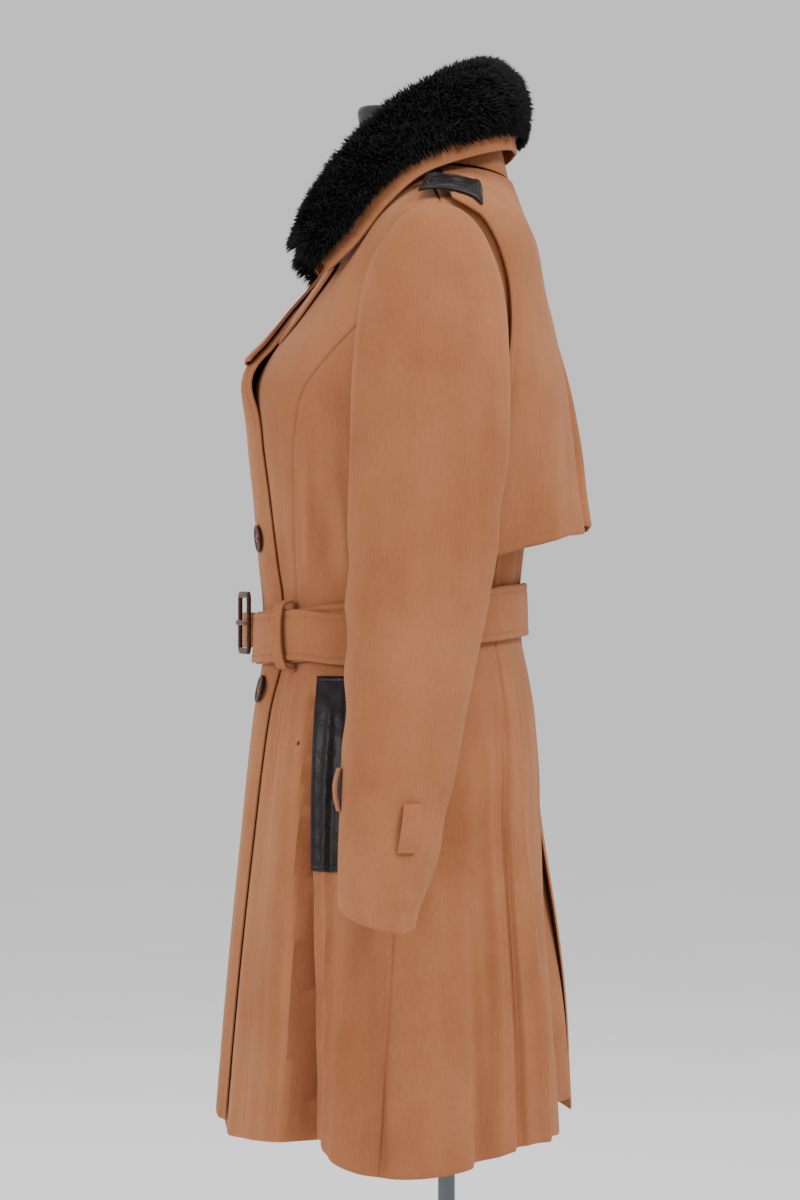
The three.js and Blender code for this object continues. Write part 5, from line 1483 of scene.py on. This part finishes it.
# Dress form: ring levels of the torso, then the neck as height, Y, half width, half depth, tilt
FORM_BOTTOM, FORM_GAP = 815, 0.7
FORM_LEVELS = [815, 816, 818, 822, 828, 850, 870, 890, 910, 930, 950, 965, 980, 1000, 1020, 1040, 1062, 1085,
               1108, 1130, 1152, 1175, 1195, 1215, 1232, 1250, 1268, 1285, 1302, 1318, 1329, 1340, 1350,
               1360, 1370, 1380]
NECK_RINGS = [(1400, -18, 54, 58, 0.1), (1412, -21, 52.4, 57, 0.11), (1425, -24, 51, 56, 0.12),
              (1436, -26, 50.4, 55.4, 0.13), (1444, -27.6, 50.2, 55.2, 0.14),
              (1447.6, -28.2, 49.2, 54.2, 0.14), (1449.4, -28.7, 47.4, 52.4, 0.14),
              (1450, -29, 44, 49, 0.14)]
form_angles = np.linspace(0, 360, 96, endpoint=False)
form_own = np.abs(signed_turn(form_angles))
form_rings = []
for level in FORM_LEVELS:
    on_shoulder = smooth((level - 1306) / 40) * smooth((48 - np.abs(form_own - 92)) / 26)
    inset = mix(20 if level < 900 else 15, WALL + FORM_GAP, on_shoulder) + (5 if level > 1360 else 0)
    rounding = 7 * (1 - math.sqrt(max(0, 1 - (1 - min(1, (level - FORM_BOTTOM) / 7)) ** 2)))
    levels = np.full(96, float(level))
    ring = body_point(form_angles, levels) - body_normal(form_angles, levels) * (inset + rounding)[:, None]
    if level < 828:
        ring[:, 2] = mix(level, ring[:, 2], smooth((level - 818) / 10))
    form_rings.append(ring)
for z, y, half_x, half_y, tilt in NECK_RINGS:
    sine, cosine = np.sin(np.radians(form_angles)), np.cos(np.radians(form_angles))
    ring_y = y - half_y * cosine
    form_rings.append(np.stack([half_x * sine, ring_y, z + tilt * (y - ring_y)], axis=-1))
pieces["dress_form"] = tube_piece("dress_form_cover", np.array(form_rings), jersey,
                                  ["dress_form"])


# Stand: turned pole and round base
def turned_piece(name, section, count, replaced):
    turns = np.linspace(0, 2 * math.pi, count, endpoint=False)
    rings = np.array([np.stack([r * np.cos(turns), r * np.sin(turns), z + 0 * turns], axis=-1)
                      for r, z in section])
    return tube_piece(name, rings, steel, replaced, 30)


POLE_RADIUS, BASE_RADIUS, BASE_THICK, HUB_HEIGHT = 8, 175, 10, 14
HUB_RADIUS = POLE_RADIUS + 8
pole_bottom = BASE_THICK + HUB_HEIGHT + SEAM
pole_section = [(POLE_RADIUS - 0.6, pole_bottom), (POLE_RADIUS, pole_bottom + 0.6)]
pole_section += [(POLE_RADIUS, z) for z in (200, 400, 600)]
pole_section += [(POLE_RADIUS, FORM_BOTTOM - SEAM - 0.6), (POLE_RADIUS - 0.6, FORM_BOTTOM - SEAM)]
pieces["stand_pole"] = turned_piece("stand_pole_steel", pole_section, 48, ["stand_pole"])
base_section = [
    (BASE_RADIUS - 2, 0), (BASE_RADIUS - 0.8, 0.4), (BASE_RADIUS, 1.6), (BASE_RADIUS, BASE_THICK - 4),
    (BASE_RADIUS - 0.6, BASE_THICK - 2), (BASE_RADIUS - 2, BASE_THICK - 0.6), (BASE_RADIUS - 4, BASE_THICK),
    (90, BASE_THICK + 1.1), (HUB_RADIUS + 6, BASE_THICK + 2), (HUB_RADIUS + 2.4, BASE_THICK + 3.4),
    (HUB_RADIUS + 0.8, BASE_THICK + 6), (HUB_RADIUS, BASE_THICK + HUB_HEIGHT - 1.4),
    (HUB_RADIUS - 0.5, BASE_THICK + HUB_HEIGHT - 0.4), (HUB_RADIUS - 1.6, BASE_THICK + HUB_HEIGHT),
]
pieces["stand_base"] = turned_piece("stand_base_steel", base_section, 128, ["stand_base"])

# Flat cuts: width and length in metres before sewing, the share of that rectangle that the cut
# keeps, how each is held and what it hangs from
FORM = ["dress_form_cover"]
CUTS = {
    "front": (0.30, 0.88, 0.68, "hung", FORM),
    "side_front": (0.18, 0.72, 0.77, "hung", FORM),
    "side_back": (0.165, 0.71, 0.67, "hung", FORM),
    "back": (0.21, 0.88, 0.72, "hung", FORM),
    "top_sleeve": (0.26, 0.64, 0.74, "hung", FORM),
    "under_sleeve": (0.15, 0.48, 0.77, "hung", FORM),
    "lapel_left": (0.09, 0.13, 0.67, "folded", ["front_left_cloth"]),
    "lapel_right": (0.13, 0.21, 0.51, "folded", ["front_right_cloth"]),
    "collar": (0.155, 0.56, 0.8, "folded", FORM),
    "fur_core": (0.13, 0.60, 0.8, "folded", ["collar_cloth"]),
    "storm_flap": (0.36, 0.52, 0.74, "hung", ["back_left_cloth", "back_right_cloth"]),
    "belt": (0.048, 0.90, 0.98, "stretched", ["front_right_cloth", "back_left_cloth", "back_right_cloth"]),
    "belt_tail": (0.045, 0.18, 1, "stretched", ["belt_cloth"]),
    "belt_loop": (0.014, 0.087, 1, "stretched", ["belt_cloth"]),
    "cuff_loop_outer": (0.014, 0.05, 1, "stretched", ["top_sleeve_left_cloth", "top_sleeve_right_cloth"]),
    "cuff_loop_front": (0.014, 0.045, 1, "stretched", ["top_sleeve_left_cloth", "top_sleeve_right_cloth"]),
    "pocket_welt": (0.045, 0.166, 0.95, "laid", ["side_front_left_cloth", "side_front_right_cloth"]),
    "shoulder_strap": (0.052, 0.07, 1, "laid", ["front_left_cloth", "front_right_cloth"]),
    "vent_underlay": (0.15, 0.28, 0.8, "hung", ["back_left_cloth", "back_right_cloth"]),
}
for node, piece in pieces.items():
    cut = next((cut for name, cut in CUTS.items() if node in (name, name + "_left", name + "_right")), None)
    if cut:
        width, length, share, held, rests_on = cut

# Camera at the photo's place, level with the waist on the wearer's left
CAMERA_FAR, CAMERA_ACROSS, CAMERA_HEIGHT = 2.6, -0.0432, 1.0
SENSOR_WIDTH, LENS = 36, 83.88
camera_data = bpy.data.cameras.new("camera")
camera_data.sensor_width = SENSOR_WIDTH
camera_data.lens = LENS
camera = bpy.data.objects.new("camera", camera_data)
camera.location = (CAMERA_FAR, CAMERA_ACROSS, CAMERA_HEIGHT)
camera.rotation_euler = (math.radians(90), 0, math.radians(90))
bpy.context.scene.collection.objects.link(camera)
bpy.context.scene.camera = camera


def studio_paint():
    """Matt studio floor paint, rolled on: a pale even surface with a faint mottle."""
    material, tree, place, output = new_finish("emulsion_paint_rolled")
    # Roller marks about 400 mm apart
    ramp = colour_ramp(tree, noise(tree, place, 400, 2.0), (0, "#f4f4f4"), (1, "#fafafa"))
    return with_surface(material, tree, output,
                        {"Roughness": 0.9, "Specular IOR Level": 0.1, "Emission Color": srgb("#ffffff"),
                         "Emission Strength": 0.06}, {"Base Color": ramp})


# A flat round floor, wide enough to meet the pale air at the horizon
FLOOR_RADIUS, FLOOR_SIDES = 40, 96
turns = np.linspace(0, 2 * math.pi, FLOOR_SIDES, endpoint=False)
floor_rim = [(FLOOR_RADIUS * math.cos(t), FLOOR_RADIUS * math.sin(t), 0) for t in turns]
floor_mesh = bpy.data.meshes.new("studio_floor")
floor_mesh.from_pydata(floor_rim, [], [list(range(FLOOR_SIDES))])
floor_mesh.materials.append(studio_paint())
floor = bpy.data.objects.new("studio_floor", floor_mesh)
bpy.context.scene.collection.objects.link(floor)

AIR_STRENGTH = 0.8
world = bpy.data.worlds.new("studio_air")
world.use_nodes = True
air = world.node_tree.nodes["Background"].inputs
air["Color"].default_value = srgb("#ffffff")
air["Strength"].default_value = AIR_STRENGTH
bpy.context.scene.world = world

# Square soft boxes turned toward the coat's middle: name, place, side of the square and power
SOFT_BOX_AIM = (0, 0, 1.0)
SOFT_BOXES = [
    ("key", (1.6, 2.1, 3.2), 0.8, 82), ("top", (0.7, 0.4, 3.6), 1.2, 36),
    ("front", (1.4, -2.7, 1.7), 1.0, 50), ("far", (-2.4, -1.0, 2.8), 1.2, 26),
]
for name, place, side, power in SOFT_BOXES:
    light = bpy.data.lights.new(f"{name}_soft_box", "AREA")
    light.shape = "RECTANGLE"
    light.size, light.size_y = side, side
    light.energy = power
    lamp = bpy.data.objects.new(f"{name}_soft_box", light)
    lamp.location = place
    direction = np.array(SOFT_BOX_AIM) - np.array(place)
    lamp.rotation_euler = (math.acos(-direction[2] / np.linalg.norm(direction)), 0,
                           math.atan2(direction[1], direction[0]) - math.pi / 2)
    bpy.context.scene.collection.objects.link(lamp)
